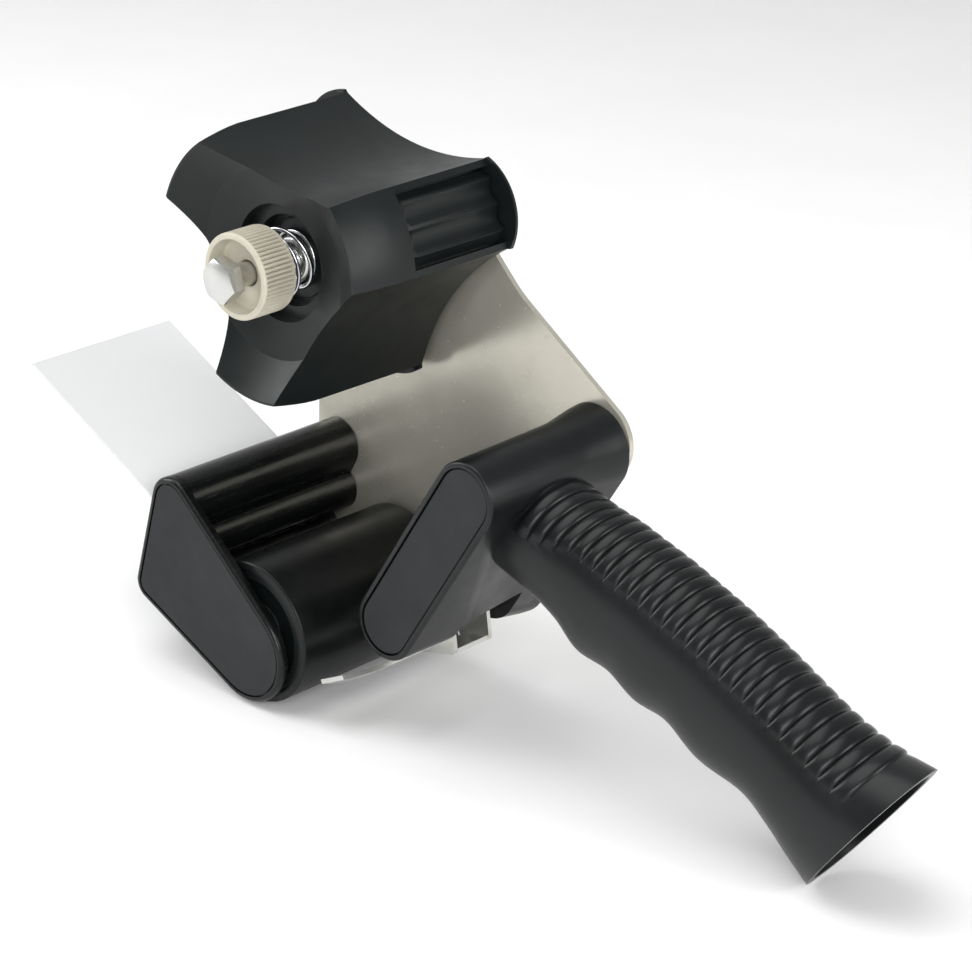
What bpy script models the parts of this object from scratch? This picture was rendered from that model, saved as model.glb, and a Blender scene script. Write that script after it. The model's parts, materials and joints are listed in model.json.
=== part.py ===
"""Tape gun dispenser for 50 mm packing tape on a 76 mm core.

The gun stands on its application roller and on the open end of its handle.
World frame: +Z up, +X from the roller towards the handle, the open side
(where a roll of tape is put on) towards -Y and the steel side plate at +Y.

Sizes below are in millimetres.  In the plane of the side plate a point is
(x, z) measured from the axis of the tape hub.  Across the gun it is w, which
grows from the side plate towards the open side.
"""
import math

import bmesh
import bpy
from mathutils import Matrix, Vector

MM = 0.001
GAP = 0.3

# ---- driving dimensions -------------------------------------------------
ROLLER_RADIUS = 18.9
HUB_TO_ROLLER = 97.5

HUB_AXIS = (0.0, 0.0)
ROLLER_AXIS = (0.0, -HUB_TO_ROLLER)

PLATE_OUTER = -32.4
PLATE_INNER = -30.9
SEAT = PLATE_INNER + GAP
COVER_FACE = 29.7
COVER_BACK = 27.2
BODY_NEAR = COVER_BACK - GAP

# hub that carries the core of the roll
HUB_FAR = -25.7
HUB_NEAR = 25.7
HUB_LOBES = 3
LOBE_ANGLE = math.radians(23.5)
LOBE_HALF_ANGLE = math.radians(18.0)
CORE_RADIUS = 37.5
CORE_STOP_RADIUS = 40.7
CORE_STOP_THICKNESS = 1.1
LOBE_TIP_RADIUS = 34.1
LEAD_IN_START = 12.0
VALLEY_FAR = 22.4
VALLEY_NEAR = 20.4
DISH_RIM = 33.5
DISH_EDGE = (24.0, 20.0)
RECESS_RADIUS = 14.85
RECESS_RIM = 17.6
RECESS_STEP = (11.6, 14.2)
RECESS_FLOOR = 10.6
HUB_CEILING = 6.5
HUB_WALL = 2.6
HUB_HOLLOW_RADIUS = 30.4
HUB_TUBE_RADIUS = 9.0
HUB_BORE = 5.3
BUSH_COLLAR = 6.0
BUSH_MOUTH = 4.0
BUSH_TOP = 14.0
BUSH_ROUND = 0.7
GRIP_NEAR = 6.6
GRIP_FAR = -24.6
GRIP_HALF_ANGLE = math.radians(14.8)
GRIP_RADIUS = 36.3
GRIP_DEPTH = 3.4
GRIP_RIDGE_PITCH = math.radians(10.4)
GRIP_FLUTE_DEPTH = 1.9

# spindle bolt and brake
BOLT_RADIUS = 2.95
BOLT_CLEARANCE = 3.3
BOLT_HEAD_FACE = 38.0
BOLT_HEAD_HEIGHT = 4.0
BOLT_END = -41.0
HEX_ACROSS_FLATS = 10.0
HEX_TURN = math.radians(48)
KNOB_RADIUS = 10.9
KNOB_BACK = 22.0
KNOB_FRONT = 32.3
KNOB_CUP_RADIUS = 8.9
KNOB_CUP_FLOOR = 28.0
KNOB_SEAT_RADIUS = 9.6
KNOB_SEAT_FLOOR = 26.4
BRAKE_TOP = 11.5
SPRING_RADIUS = 8.6
SPRING_FOOT_RADIUS = 7.0
SPRING_WIRE = 0.5
SPRING_START = math.radians(-75)
# turns along the wire and its height: both end turns lie flat
SPRING_RISE = [(0.0, 12.45), (1.0, 12.65), (1.46, 17.2), (2.2, 19.2), (2.9, 23.9), (3.4, 24.2)]

# roller
ROLLER_NEAR = 26.0
ROLLER_FAR = -27.0
SLEEVE_THICKNESS = 2.2
ROLLER_WEB = 23.5
AXLE_RADIUS = 3.0

# front body: tube for the flap, blade corner and roller corner of its cover
TUBE_AXIS = (-27.6, -70.3)
TUBE_RADIUS = 7.3
SECOND_TUBE_AXIS = (-26.8, -82.4)
SECOND_TUBE_RADIUS = 6.2
BLADE_CORNER = (-36.4, -95.7)
BLADE_CORNER_RADIUS = 5.0
BODY_CORNER_RADIUS = 3.8
COVER_ROLLER_CORNER = (0.0, -101.6)
COVER_ROLLER_RADIUS = 14.0
ROLLER_CLEARANCE = 21.2

# screws: two through the plate into each moulding, two through the cover
BODY_SCREWS = [TUBE_AXIS, (-33.8, -93.2)]
HOUSING_SCREWS = [(62.4, -42.7), (45.0, -72.1)]
COVER_SCREWS = [(-28.4, -69.3), (-34.4, -93.8)]

# cutting blade, measured down the front of the body from the tube
BLADE_TOP = 19.5
BLADE_DEPTH = 15.0
BLADE_NEAR = 26.0
BLADE_FAR = -27.0
BLADE_TEETH = 20
TOOTH_DEPTH = 2.0
BLADE_THICKNESS = 0.7

# wiper flap
FLAP_BEAD = (-33.6, -74.9)
FLAP_ANGLE = math.radians(154.4)
FLAP_LENGTH = 58.6
FLAP_THICKNESS = 0.8
FLAP_NEAR = 26.4
FLAP_FAR = -21.6
BEAD_RADIUS = 1.3

# tape tongue and its pivot
TONGUE_PIVOT = (38.5, -87.6)
TONGUE_TIP = (23.9, -106.4)
TONGUE_ELBOW = (31.6, -100.6)
TONGUE_HEEL = (43.2, -97.3)
TONGUE_SHEET = 1.2
TONGUE_NEAR = 25.0
TONGUE_FAR = -24.0
TONGUE_CURL_START = 5.0
TONGUE_CURL = 3.4
CHEEK_NEAR = -2.4
CHEEK_FAR = -16.2
TONGUE_TEETH = 9
TONGUE_NOTCH = 1.6
PIN_RADIUS = 1.3
PIN_WEB = 1.8
PIN_NEAR = CHEEK_NEAR + 2.2
PIN_FAR = CHEEK_FAR - 2.2
NOTCH_FAR = -20.5
NOTCH_RISE = 4.0

# handle housing and handle
HOUSING_CENTRE = (49.8, -64.05)
HOUSING_ANGLE = math.radians(59.3)
HOUSING_HALF = 24.8
HOUSING_RADIUS = 9.35
HOUSING_NEAR = 16.5
HOUSING_WALL = 2.2
FLARE = 2.0
HANDLE_ANGLE = math.radians(21.0)
HANDLE_ROOT = (66.2, -54.9)
HANDLE_W = -7.0
HANDLE_LENGTH = 112.1
HANDLE_HALF_WIDTH = 13.6
HANDLE_END_HALF_WIDTH = 15.0
HANDLE_WALL = 2.4
HANDLE_END_LEAN = 0.25
HANDLE_END_SKEW = 0.08
# height of the back above the handle's axis, and depth of the finger side below it
GRIP_BACK = [(0, 14.2), (12, 14.9), (24, 17.2), (45, 18.8), (70, 18.5), (90, 16.5), (102, 17.3), (108, 19.8),
             (112, 21.1)]
GRIP_FINGERS = [(0, 14.2), (12, 13.6), (20, 14.7), (28, 17.6), (38, 15.7), (47.5, 17.0), (57.5, 14.8), (69, 17.0),
                (84, 14.9), (95, 17.1), (104, 19.9), (112, 22.5)]
RIB_COUNT = 27
RIB_PITCH = 3.8
RIB_START = 2.2
RIB_HEIGHT = 0.8
RIB_EDGE = 0.52
HANDLE_DIRECTION = Vector((math.cos(HANDLE_ANGLE), -math.sin(HANDLE_ANGLE)))
HANDLE_UP = Vector((math.sin(HANDLE_ANGLE), math.cos(HANDLE_ANGLE)))
FLAP_DIRECTION = Vector((math.cos(FLAP_ANGLE), math.sin(FLAP_ANGLE)))


def handle_point(along, up):
    """Point in the plate's plane, from the handle's own axes."""
    return Vector(HANDLE_ROOT) + HANDLE_DIRECTION * along + HANDLE_UP * up


def smooth(low, high, value):
    """Smooth step from 0 at low to 1 at high."""
    share = min(1.0, max(0.0, (value - low) / (high - low)))
    return share * share * (3 - 2 * share)


def through(knots, value):
    """Height at value of a smooth curve through knots (place, height)."""
    index = sum(1 for place, height in knots[1:-1] if place <= value)
    places = [place for place, height in knots]
    heights = [height for place, height in knots]
    slopes = []
    for end in (index, index + 1):
        low = max(0, end - 1)
        high = min(len(knots) - 1, end + 1)
        slopes.append((heights[high] - heights[low]) / (places[high] - places[low]))
    span = places[index + 1] - places[index]
    share = min(1.0, max(0.0, (value - places[index]) / span))
    blend = share * share * (3 - 2 * share)
    bulge = span * share * (1 - share) * (slopes[0] * (1 - share) - slopes[1] * share)
    return heights[index] * (1 - blend) + heights[index + 1] * blend + bulge


def handle_ring(along, shrink=0.0, rib=0.0, count=28):
    """Section of the handle: a soft oval, with ribs on its back."""
    back = through(GRIP_BACK, along)
    fingers = through(GRIP_FINGERS, along)
    widening = smooth(82, HANDLE_LENGTH, along) * (HANDLE_END_HALF_WIDTH - HANDLE_HALF_WIDTH)
    lean = HANDLE_END_LEAN * smooth(70, HANDLE_LENGTH, along)
    middle = (back - fingers) / 2
    skew = HANDLE_END_SKEW * smooth(70, HANDLE_LENGTH, along)
    edge = RIB_EDGE - 0.25 * (1 - smooth(0, 20, along))
    ring = []
    for index in range(count):
        angle = math.tau * index / count
        up = math.copysign(abs(math.cos(angle)) ** 0.9, math.cos(angle))
        side = math.copysign(abs(math.sin(angle)) ** 0.9, math.sin(angle))
        grow = rib * smooth(edge, edge + 0.12, math.cos(angle)) - shrink
        height = middle + ((back + fingers) / 2 + grow) * up
        across = HANDLE_W + (HANDLE_HALF_WIDTH + widening + grow) * side
        spot = handle_point(along + lean * height + skew * (across - HANDLE_W), height)
        ring.append((spot.x, spot.y, across))
    return ring


# The gun is tilted until its roller and the lower edge of its handle's end both
# touch the floor, and the origin is put under the middle of its box.
HANDLE_END = [Vector((x, z)) for x, z, w in handle_ring(HANDLE_LENGTH)]


def stance_on(point):
    """Tilt that puts both the roller and a point on the floor."""
    foot = point - Vector(ROLLER_AXIS)
    return math.atan2(foot.y, foot.x) + math.asin(ROLLER_RADIUS / foot.length)


STANCE = min(stance_on(point) for point in HANDLE_END)


def stood(point):
    """Point of the plate's plane as it is with the gun standing on the floor."""
    return Matrix.Rotation(-STANCE, 2) @ Vector(point)


HUB_HEIGHT = ROLLER_RADIUS - stood(ROLLER_AXIS).y
FLAP_TIP = Vector(FLAP_BEAD) + FLAP_DIRECTION * FLAP_LENGTH
HUB_X = -(max(stood(point).x for point in HANDLE_END) + stood(FLAP_TIP).x) / 2
MIDDLE_W = (BOLT_HEAD_FACE + BOLT_END) / 2

ARC_STEP = math.radians(15)
TURN_STEPS = 28


# ---- outlines -----------------------------------------------------------
def arc(centre, radius, start, end, step=ARC_STEP):
    """Points on an arc from angle start to angle end, both ends included."""
    count = max(2, math.ceil(abs(end - start) / step) + 1)
    angles = [start + (end - start) * i / (count - 1) for i in range(count)]
    return [(centre[0] + radius * math.cos(a), centre[1] + radius * math.sin(a)) for a in angles]


def circle(centre, radius, count=24):
    """Points of a full circle."""
    angles = [math.tau * i / count for i in range(count)]
    return [(centre[0] + radius * math.cos(a), centre[1] + radius * math.sin(a)) for a in angles]


def belt(circles):
    """Outline of a belt pulled round circles (x, z, radius), listed anticlockwise."""
    tangents = []
    for (x0, z0, r0), (x1, z1, r1) in zip(circles, circles[1:] + circles[:1]):
        direction = math.atan2(z1 - z0, x1 - x0)
        tangents.append(direction - math.acos((r0 - r1) / math.hypot(x1 - x0, z1 - z0)))
    points = []
    for index, (x, z, radius) in enumerate(circles):
        start = tangents[index - 1]
        end = start + (tangents[index] - start) % math.tau
        points += arc((x, z), radius, start, end)
    return points


def rounded(corners):
    """Closed polygon whose corners (x, z, radius) are rounded."""
    points = []
    for index, (x, z, radius) in enumerate(corners):
        here = Vector((x, z))
        before = (Vector(corners[index - 1][:2]) - here).normalized()
        after = (Vector(corners[(index + 1) % len(corners)][:2]) - here).normalized()
        half = before.angle(after) / 2
        centre = here + (before + after).normalized() * (radius / math.sin(half))
        first = here + before * (radius / math.tan(half)) - centre
        last = here + after * (radius / math.tan(half)) - centre
        start = math.atan2(first.y, first.x)
        sweep = (math.atan2(last.y, last.x) - start + math.pi) % math.tau - math.pi
        points += arc(centre, radius, start, start + sweep)
    return points


def strip(points, thickness):
    """Outline of a bent strip of sheet: the points are its middle line."""
    left = []
    right = []
    for index, point in enumerate(points):
        here = Vector(point)
        legs = []
        if index > 0:
            legs.append((here - Vector(points[index - 1])).normalized())
        if index < len(points) - 1:
            legs.append((Vector(points[index + 1]) - here).normalized())
        heading = sum(legs, Vector((0, 0))).normalized()
        normal = Vector((-heading.y, heading.x)) * (thickness / 2 / heading.dot(legs[0]))
        left.append(tuple(here + normal))
        right.append(tuple(here - normal))
    return right + left[::-1]


def turned_by(points, angle, centre=(0.0, 0.0)):
    """The same points, turned about a centre."""
    turn = Matrix.Rotation(angle, 2)
    return [tuple(turn @ (Vector(p) - Vector(centre)) + Vector(centre)) for p in points]


# ---- scene, materials and bodies ----------------------------------------
def collection(name):
    """New collection in the scene."""
    made = bpy.data.collections.new(name)
    bpy.context.scene.collection.children.link(made)
    return made


def material(name, colour, roughness, metallic=0.0):
    """Principled material."""
    made = bpy.data.materials.new(name)
    made.use_nodes = True
    shader = made.node_tree.nodes["Principled BSDF"]
    shader.inputs["Base Color"].default_value = (*colour, 1.0)
    shader.inputs["Roughness"].default_value = roughness
    shader.inputs["Metallic"].default_value = metallic
    return made


for old in list(bpy.data.objects):
    bpy.data.objects.remove(old)

PARTS = collection("tape_gun_dispenser")
CUTTERS = collection("cutters")

GLOSS_BLACK = material("gloss_black_plastic", (0.012, 0.013, 0.014), 0.22)
SATIN_BLACK = material("satin_black_plastic", (0.018, 0.019, 0.021), 0.38)
MATTE_GREY = material("matte_grey_insert", (0.045, 0.047, 0.051), 0.6)
ROLLER_BLACK = material("roller_rubber", (0.014, 0.015, 0.016), 0.3)
PLATE_STEEL = material("polished_steel", (0.62, 0.60, 0.55), 0.14, 1.0)
ZINC = material("zinc_plated_steel", (0.72, 0.73, 0.74), 0.25, 1.0)
SPRING_STEEL = material("bright_spring_wire", (0.78, 0.79, 0.80), 0.12, 1.0)
BEIGE = material("beige_plastic", (0.56, 0.52, 0.43), 0.45)
NYLON = material("natural_nylon", (0.75, 0.74, 0.70), 0.5)
CLEAR = material("clear_sheet", (0.90, 0.91, 0.92), 0.08)


def body(name, point, w=0.0):
    """Empty on a joint's axis: the parent of the pieces that move together."""
    empty = bpy.data.objects.new(name, None)
    empty.location = world(point, w)
    PARTS.objects.link(empty)
    return empty


def world(point, w):
    """World position of a point of the plate's plane at w across the gun."""
    spot = stood(point)
    return Vector((spot.x + HUB_X, MIDDLE_W - w, spot.y + HUB_HEIGHT)) * MM


# ---- solids -------------------------------------------------------------
# A solid's own axes are x, z of the plate's plane and then w, so every object
# is turned a quarter turn about X, and then tilted with the gun.
def solid(name, mesh, finish=None, parent=None, point=(0.0, 0.0), w=0.0):
    """Object for a mesh made in millimetres about a point."""
    mesh.transform(Matrix.Scale(MM, 4))
    made = bpy.data.objects.new(name, mesh)
    made.rotation_euler = (math.pi / 2, STANCE, 0)
    made.location = world(point, w)
    if parent:
        made.parent = parent
        made.location = made.location - parent.location
    if finish:
        mesh.materials.append(finish)
    (PARTS if finish else CUTTERS).objects.link(made)
    if not finish:
        made.hide_render = True
        made.display_type = "WIRE"
    mesh.shade_smooth()
    mesh.set_sharp_from_angle(angle=math.radians(32))
    return made


def prism(name, loops, w0, w1, finish=None, parent=None, point=(0.0, 0.0)):
    """Flat outline, with any holes, extruded from w0 to w1."""
    curve = bpy.data.curves.new(name, "CURVE")
    curve.dimensions = "2D"
    curve.fill_mode = "BOTH"
    curve.extrude = (w1 - w0) / 2
    for loop in loops:
        spline = curve.splines.new("POLY")
        spline.points.add(len(loop) - 1)
        for spot, (x, z) in zip(spline.points, loop):
            spot.co = (x - point[0], z - point[1], 0, 1)
        spline.use_cyclic_u = True
    shape = bpy.data.objects.new(name, curve)
    bpy.context.scene.collection.objects.link(shape)
    return solid(name, welded_mesh(shape), finish, parent, point, (w0 + w1) / 2)


def welded_mesh(shape):
    """Closed mesh of a curve or modified object, which is then removed."""
    graph = bpy.context.evaluated_depsgraph_get()
    mesh = bpy.data.meshes.new_from_object(shape.evaluated_get(graph))
    data = shape.data
    bpy.data.objects.remove(shape)
    if isinstance(data, bpy.types.Curve):
        bpy.data.curves.remove(data)
    work = bmesh.new()
    work.from_mesh(mesh)
    bmesh.ops.remove_doubles(work, verts=work.verts, dist=0.001)
    work.to_mesh(mesh)
    work.free()
    mesh.materials.clear()
    return mesh


def turned(name, profile, finish=None, parent=None, point=(0.0, 0.0), steps=TURN_STEPS):
    """Turned piece: profile (radius, w) runs down its outer side, from high w to low w."""
    mesh = bpy.data.meshes.new(name)
    spots = [(r, 0, w) for r, w in profile]
    closed = profile[0][0] > 0
    edges = [(i, i + 1) for i in range(len(spots) - 1)]
    if closed:
        edges.append((len(spots) - 1, 0))
    mesh.from_pydata(spots, edges, [])
    shape = bpy.data.objects.new(name, mesh)
    bpy.context.scene.collection.objects.link(shape)
    screw = shape.modifiers.new("turn", "SCREW")
    screw.axis = "Z"
    screw.steps = steps
    screw.render_steps = steps
    screw.use_merge_vertices = True
    screw.merge_threshold = 0.0001
    return solid(name, welded_mesh(shape), finish, parent, point)


def loft(name, rings, finish=None, parent=None, point=(0.0, 0.0)):
    """Skin through rings of (x, z, w) points, closed at both ends."""
    work = bmesh.new()
    rows = []
    for ring in rings:
        rows.append([work.verts.new((x - point[0], z - point[1], w)) for x, z, w in ring])
    for low, high in zip(rows, rows[1:]):
        for i in range(len(low)):
            j = (i + 1) % len(low)
            work.faces.new((low[i], low[j], high[j], high[i]))
    work.faces.new(rows[0][::-1])
    work.faces.new(rows[-1])
    bmesh.ops.recalc_face_normals(work, faces=work.faces)
    mesh = bpy.data.meshes.new(name)
    work.to_mesh(mesh)
    work.free()
    return solid(name, mesh, finish, parent, point)


def wire(name, path, radius, finish, parent=None):
    """Wire along (x, z, w) points."""
    curve = bpy.data.curves.new(name, "CURVE")
    curve.dimensions = "3D"
    curve.bevel_depth = radius
    curve.bevel_resolution = 2
    curve.use_fill_caps = True
    spline = curve.splines.new("POLY")
    spline.points.add(len(path) - 1)
    for spot, (x, z, w) in zip(spline.points, path):
        spot.co = (x, z, w, 1)
    shape = bpy.data.objects.new(name, curve)
    bpy.context.scene.collection.objects.link(shape)
    return solid(name, welded_mesh(shape), finish, parent)


def combine(target, tool, operation="DIFFERENCE"):
    """Cut a piece with a tool, or join the tool to it."""
    change = target.modifiers.new(tool.name, "BOOLEAN")
    change.operation = operation
    change.object = tool
    change.solver = "EXACT"
    return target


def ring_profile(outer, inner, high, low):
    """Turned profile of a plain ring."""
    return [(outer, high), (outer, low), (inner, low), (inner, high)]


def washer(name, outer, inner, high, low, finish, parent=None, point=(0.0, 0.0)):
    """Plain ring."""
    return turned(name, ring_profile(outer, inner, high, low), finish, parent, point)


def plate_screw(name, point, depth):
    """Pan-head screw from the outside of the side plate into a moulded boss."""
    head = PLATE_OUTER - GAP
    profile = [(0, depth), (1.5, depth), (1.5, head), (3.2, head), (2.9, head - 2.0), (0, head - 2.3)]
    return turned(name, profile, ZINC, point=point, steps=16)


def hexagon(across_flats):
    """Corners of a hexagon about the hub's axis."""
    return turned_by(circle(HUB_AXIS, across_flats / math.sqrt(3), 6), HEX_TURN)


# ---- hub ----------------------------------------------------------------
def lobe_radius(w):
    """Radius of the lobes, which are tapered and have a lead-in at the open end."""
    if w > LEAD_IN_START:
        share = (w - LEAD_IN_START) / (HUB_NEAR - LEAD_IN_START)
        return 36.2 + (LOBE_TIP_RADIUS - 36.2) * share ** 1.4
    return 36.6 + (36.2 - 36.6) * (w - HUB_FAR) / (LEAD_IN_START - HUB_FAR)


def hub_outline(tip, valley):
    """Three lobes with hollow sides: valley is the distance from the axis to a side."""
    reach = tip * math.sin(math.pi / HUB_LOBES - LOBE_HALF_ANGLE)
    edge = tip * math.cos(math.pi / HUB_LOBES - LOBE_HALF_ANGLE)
    points = []
    for lobe in range(HUB_LOBES):
        middle = LOBE_ANGLE + math.tau * lobe / HUB_LOBES
        points += arc((0, 0), tip, middle - LOBE_HALF_ANGLE, middle + LOBE_HALF_ANGLE, math.radians(6))
        shares = [1 - 2 * i / 10 for i in range(1, 10)]
        side = [(valley + (edge - valley) * share * share, -reach * share) for share in shares]
        points += turned_by(side, middle + math.pi / HUB_LOBES)
    return points


def hub_ring(w, tip, valley):
    """One section of the hub."""
    return [(x, z, w) for x, z in hub_outline(tip, valley)]


def valley_at(w):
    """Distance from the axis to the hollow side: the sides have draft."""
    share = (w - HUB_FAR) / (HUB_NEAR - HUB_FAR)
    return VALLEY_FAR + (VALLEY_NEAR - VALLEY_FAR) * share


def core_stop(index):
    """Outline of the stop tab behind one lobe, which keeps the core on the hub."""
    half_chord = CORE_RADIUS * math.sin(LOBE_HALF_ANGLE)
    corner = CORE_RADIUS * math.cos(LOBE_HALF_ANGLE)
    rise = CORE_STOP_RADIUS - corner
    radius = (half_chord * half_chord + rise * rise) / 2 / rise
    spread = math.asin(half_chord / radius)
    tab = arc((CORE_STOP_RADIUS - radius, 0), radius, -spread, spread, math.radians(8))
    tab += [(corner - 6, half_chord - 0.5), (corner - 6, 0.5 - half_chord)]
    return turned_by(tab, LOBE_ANGLE + math.tau * index / HUB_LOBES)


def make_hub(hub):
    """Core hub with its hollow back, dished front and stepped recess."""
    rings = [hub_ring(w, lobe_radius(w), valley_at(w)) for w in (HUB_FAR, LEAD_IN_START, 19.0, HUB_NEAR)]
    shell = loft("hub_body", rings, SATIN_BLACK, hub)
    for index in range(HUB_LOBES):
        stop = prism(f"core_stop_tool_{index + 1}", [core_stop(index)], HUB_FAR, HUB_FAR + CORE_STOP_THICKNESS)
        combine(shell, stop, "UNION")
    dish = turned("hub_dish_cutter", [(0, 40), (40, 40), (40, 29.4), (DISH_RIM, HUB_NEAR), DISH_EDGE,
                                      (RECESS_RADIUS, RECESS_RIM), (RECESS_RADIUS, RECESS_STEP[1]),
                                      RECESS_STEP, (RECESS_STEP[0], RECESS_FLOOR), (0, RECESS_FLOOR)], steps=48)
    hollow_loops = [hub_outline(HUB_HOLLOW_RADIUS, VALLEY_NEAR - HUB_WALL), circle((0, 0), HUB_TUBE_RADIUS, 32)]
    hollow = prism("hub_hollow_cutter", hollow_loops, HUB_FAR - 5, HUB_CEILING)
    bore = turned("hub_bore_cutter", [(0, 20), (HUB_BORE, 20), (HUB_BORE, -40), (0, -40)])
    for tool in (dish, hollow, bore):
        combine(shell, tool)
    for index in range(HUB_LOBES):
        combine(shell, grip_pocket(index))
    return shell


def grip_pocket(index):
    """Cutter for the pocket of one grip pad."""
    inner = (GRIP_RADIUS - GRIP_DEPTH) * math.cos(GRIP_HALF_ANGLE) - GAP
    side = GRIP_RADIUS * math.sin(GRIP_HALF_ANGLE) + GAP
    box = [(inner, -side), (GRIP_RADIUS + 5, -side), (GRIP_RADIUS + 5, side), (inner, side)]
    box = turned_by(box, LOBE_ANGLE + math.tau * index / HUB_LOBES)
    return prism(f"grip_pocket_cutter_{index + 1}", [box], GRIP_FAR - GAP, GRIP_NEAR + GAP)


def grip_radius(angle):
    """Radius of a grip pad's outer face: ridges one pitch apart with round flutes between."""
    phase = (angle / GRIP_RIDGE_PITCH) % 1.0
    return GRIP_RADIUS - GRIP_FLUTE_DEPTH * (1 - (2 * phase - 1) ** 2)


def make_grips(hub):
    """Fluted pads that hold the core, one in each lobe."""
    flat = (GRIP_RADIUS - GRIP_DEPTH) * math.cos(GRIP_HALF_ANGLE)
    count = 17
    angles = [GRIP_HALF_ANGLE * (2 * i / (count - 1) - 1) for i in range(count)]
    angles += [-GRIP_RIDGE_PITCH, 0.0, GRIP_RIDGE_PITCH]
    outer = [(grip_radius(a) * math.cos(a), grip_radius(a) * math.sin(a)) for a in sorted(set(angles))]
    shape = outer + [(flat, outer[-1][1]), (flat, outer[0][1])]
    for index in range(HUB_LOBES):
        outline = turned_by(shape, LOBE_ANGLE + math.tau * index / HUB_LOBES)
        prism(f"core_grip_pad_{index + 1}", [outline], GRIP_FAR, GRIP_NEAR, SATIN_BLACK, hub)


def make_hub_bush(hub):
    """Collared bush between the hub and the spindle bolt."""
    low = HUB_FAR + 1.0
    seat = RECESS_FLOOR + GAP
    profile = [(BUSH_COLLAR - BUSH_ROUND, BUSH_TOP), (BUSH_COLLAR, BUSH_TOP - BUSH_ROUND), (BUSH_COLLAR, seat),
               (HUB_BORE - GAP, seat), (HUB_BORE - GAP, low), (BOLT_CLEARANCE, low),
               (BOLT_CLEARANCE, RECESS_FLOOR - 2), (BUSH_MOUTH, RECESS_FLOOR - 2),
               (BUSH_MOUTH, BUSH_TOP - BUSH_ROUND), (BUSH_MOUTH + BUSH_ROUND, BUSH_TOP)]
    turned("hub_bush", profile, ZINC, hub)


# ---- spindle, brake spring and knob -------------------------------------
def make_spindle():
    """Hexagon bolt through knob, hub and plate, with its washer and nut."""
    under_head = BOLT_HEAD_FACE - BOLT_HEAD_HEIGHT
    bolt = prism("spindle_bolt", [hexagon(HEX_ACROSS_FLATS)], under_head, BOLT_HEAD_FACE, ZINC)
    shank = turned("spindle_shank_tool", [(0, under_head + 1), (BOLT_RADIUS, under_head + 1),
                                          (BOLT_RADIUS, BOLT_END + 0.6), (BOLT_RADIUS - 0.6, BOLT_END),
                                          (0, BOLT_END)], steps=24)
    combine(bolt, shank, "UNION")
    washer("spindle_washer", 6.4, BOLT_CLEARANCE, PLATE_OUTER - GAP, PLATE_OUTER - GAP - 1.4, ZINC)
    nut_top = PLATE_OUTER - 2 * GAP - 1.4
    nut_loops = [hexagon(HEX_ACROSS_FLATS), circle((0, 0), BOLT_CLEARANCE)]
    prism("spindle_nut", nut_loops, nut_top - 5.0, nut_top, ZINC)
    washer("hub_spacer", 11.0, BOLT_CLEARANCE, HUB_FAR - GAP, SEAT, NYLON)


def make_brake(knob_travel):
    """Friction washer under the spring, and the seat washer that the knob pushes along."""
    washer("brake_washer", 10.2, BUSH_COLLAR + GAP, BRAKE_TOP, RECESS_FLOOR + GAP, SATIN_BLACK)
    seat = KNOB_SEAT_FLOOR - GAP
    washer("spring_seat_washer", KNOB_SEAT_RADIUS - 0.5, BOLT_CLEARANCE, seat, seat - 1.0, ZINC, knob_travel)


def make_spring():
    """Open coil between the friction washer and the knob."""
    turns = SPRING_RISE[-1][0]
    count = round(turns * 18)
    path = []
    for index in range(count + 1):
        turn = turns * index / count
        angle = SPRING_START + math.tau * turn
        radius = SPRING_FOOT_RADIUS + (SPRING_RADIUS - SPRING_FOOT_RADIUS) * smooth(0.9, 1.4, turn)
        path.append((radius * math.cos(angle), radius * math.sin(angle), through(SPRING_RISE, turn)))
    wire("tension_spring", path, SPRING_WIRE, SPRING_STEEL)


def make_knob(knob):
    """Tension knob: a cup round the bolt in front and a seat for the spring behind."""
    profile = [(KNOB_RADIUS - 0.5, KNOB_FRONT), (KNOB_RADIUS, KNOB_FRONT - 0.5), (KNOB_RADIUS, KNOB_BACK + 0.5),
               (KNOB_RADIUS - 0.5, KNOB_BACK), (KNOB_SEAT_RADIUS, KNOB_BACK),
               (KNOB_SEAT_RADIUS, KNOB_SEAT_FLOOR), (BOLT_CLEARANCE, KNOB_SEAT_FLOOR),
               (BOLT_CLEARANCE, KNOB_CUP_FLOOR), (KNOB_CUP_RADIUS, KNOB_CUP_FLOOR),
               (KNOB_CUP_RADIUS + 0.3, KNOB_FRONT)]
    turned("tension_knob", profile, BEIGE, knob, steps=48)


# ---- side plate ---------------------------------------------------------
def make_side_plate():
    """Steel plate that everything is fastened to."""
    outline = rounded([(-17, 39.6, 17), (-17, -14, 20), (-35.8, -38, 20), (-35.8, -69, 12), (-41.8, -100.8, 5.5),
                       (-9, -111.5, 12), (9, -111.5, 12), (30, -93, 10), (40.5, -95.5, 9), (77.5, -37.4, 10.5),
                       (35, -10.2, 30)])
    holes = [circle(HUB_AXIS, BOLT_CLEARANCE), circle(ROLLER_AXIS, AXLE_RADIUS + GAP)]
    holes += [circle(point, 1.9, 16) for point in BODY_SCREWS + HOUSING_SCREWS]
    return prism("side_plate", [outline] + holes, PLATE_OUTER, PLATE_INNER, PLATE_STEEL)


# ---- front body ---------------------------------------------------------
def cover_outline(inset):
    """Rounded triangle of the end cover."""
    return belt([(*TUBE_AXIS, TUBE_RADIUS + 0.1 - inset), (*BLADE_CORNER, BLADE_CORNER_RADIUS - inset),
                 (*COVER_ROLLER_CORNER, COVER_ROLLER_RADIUS - inset)])


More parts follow.
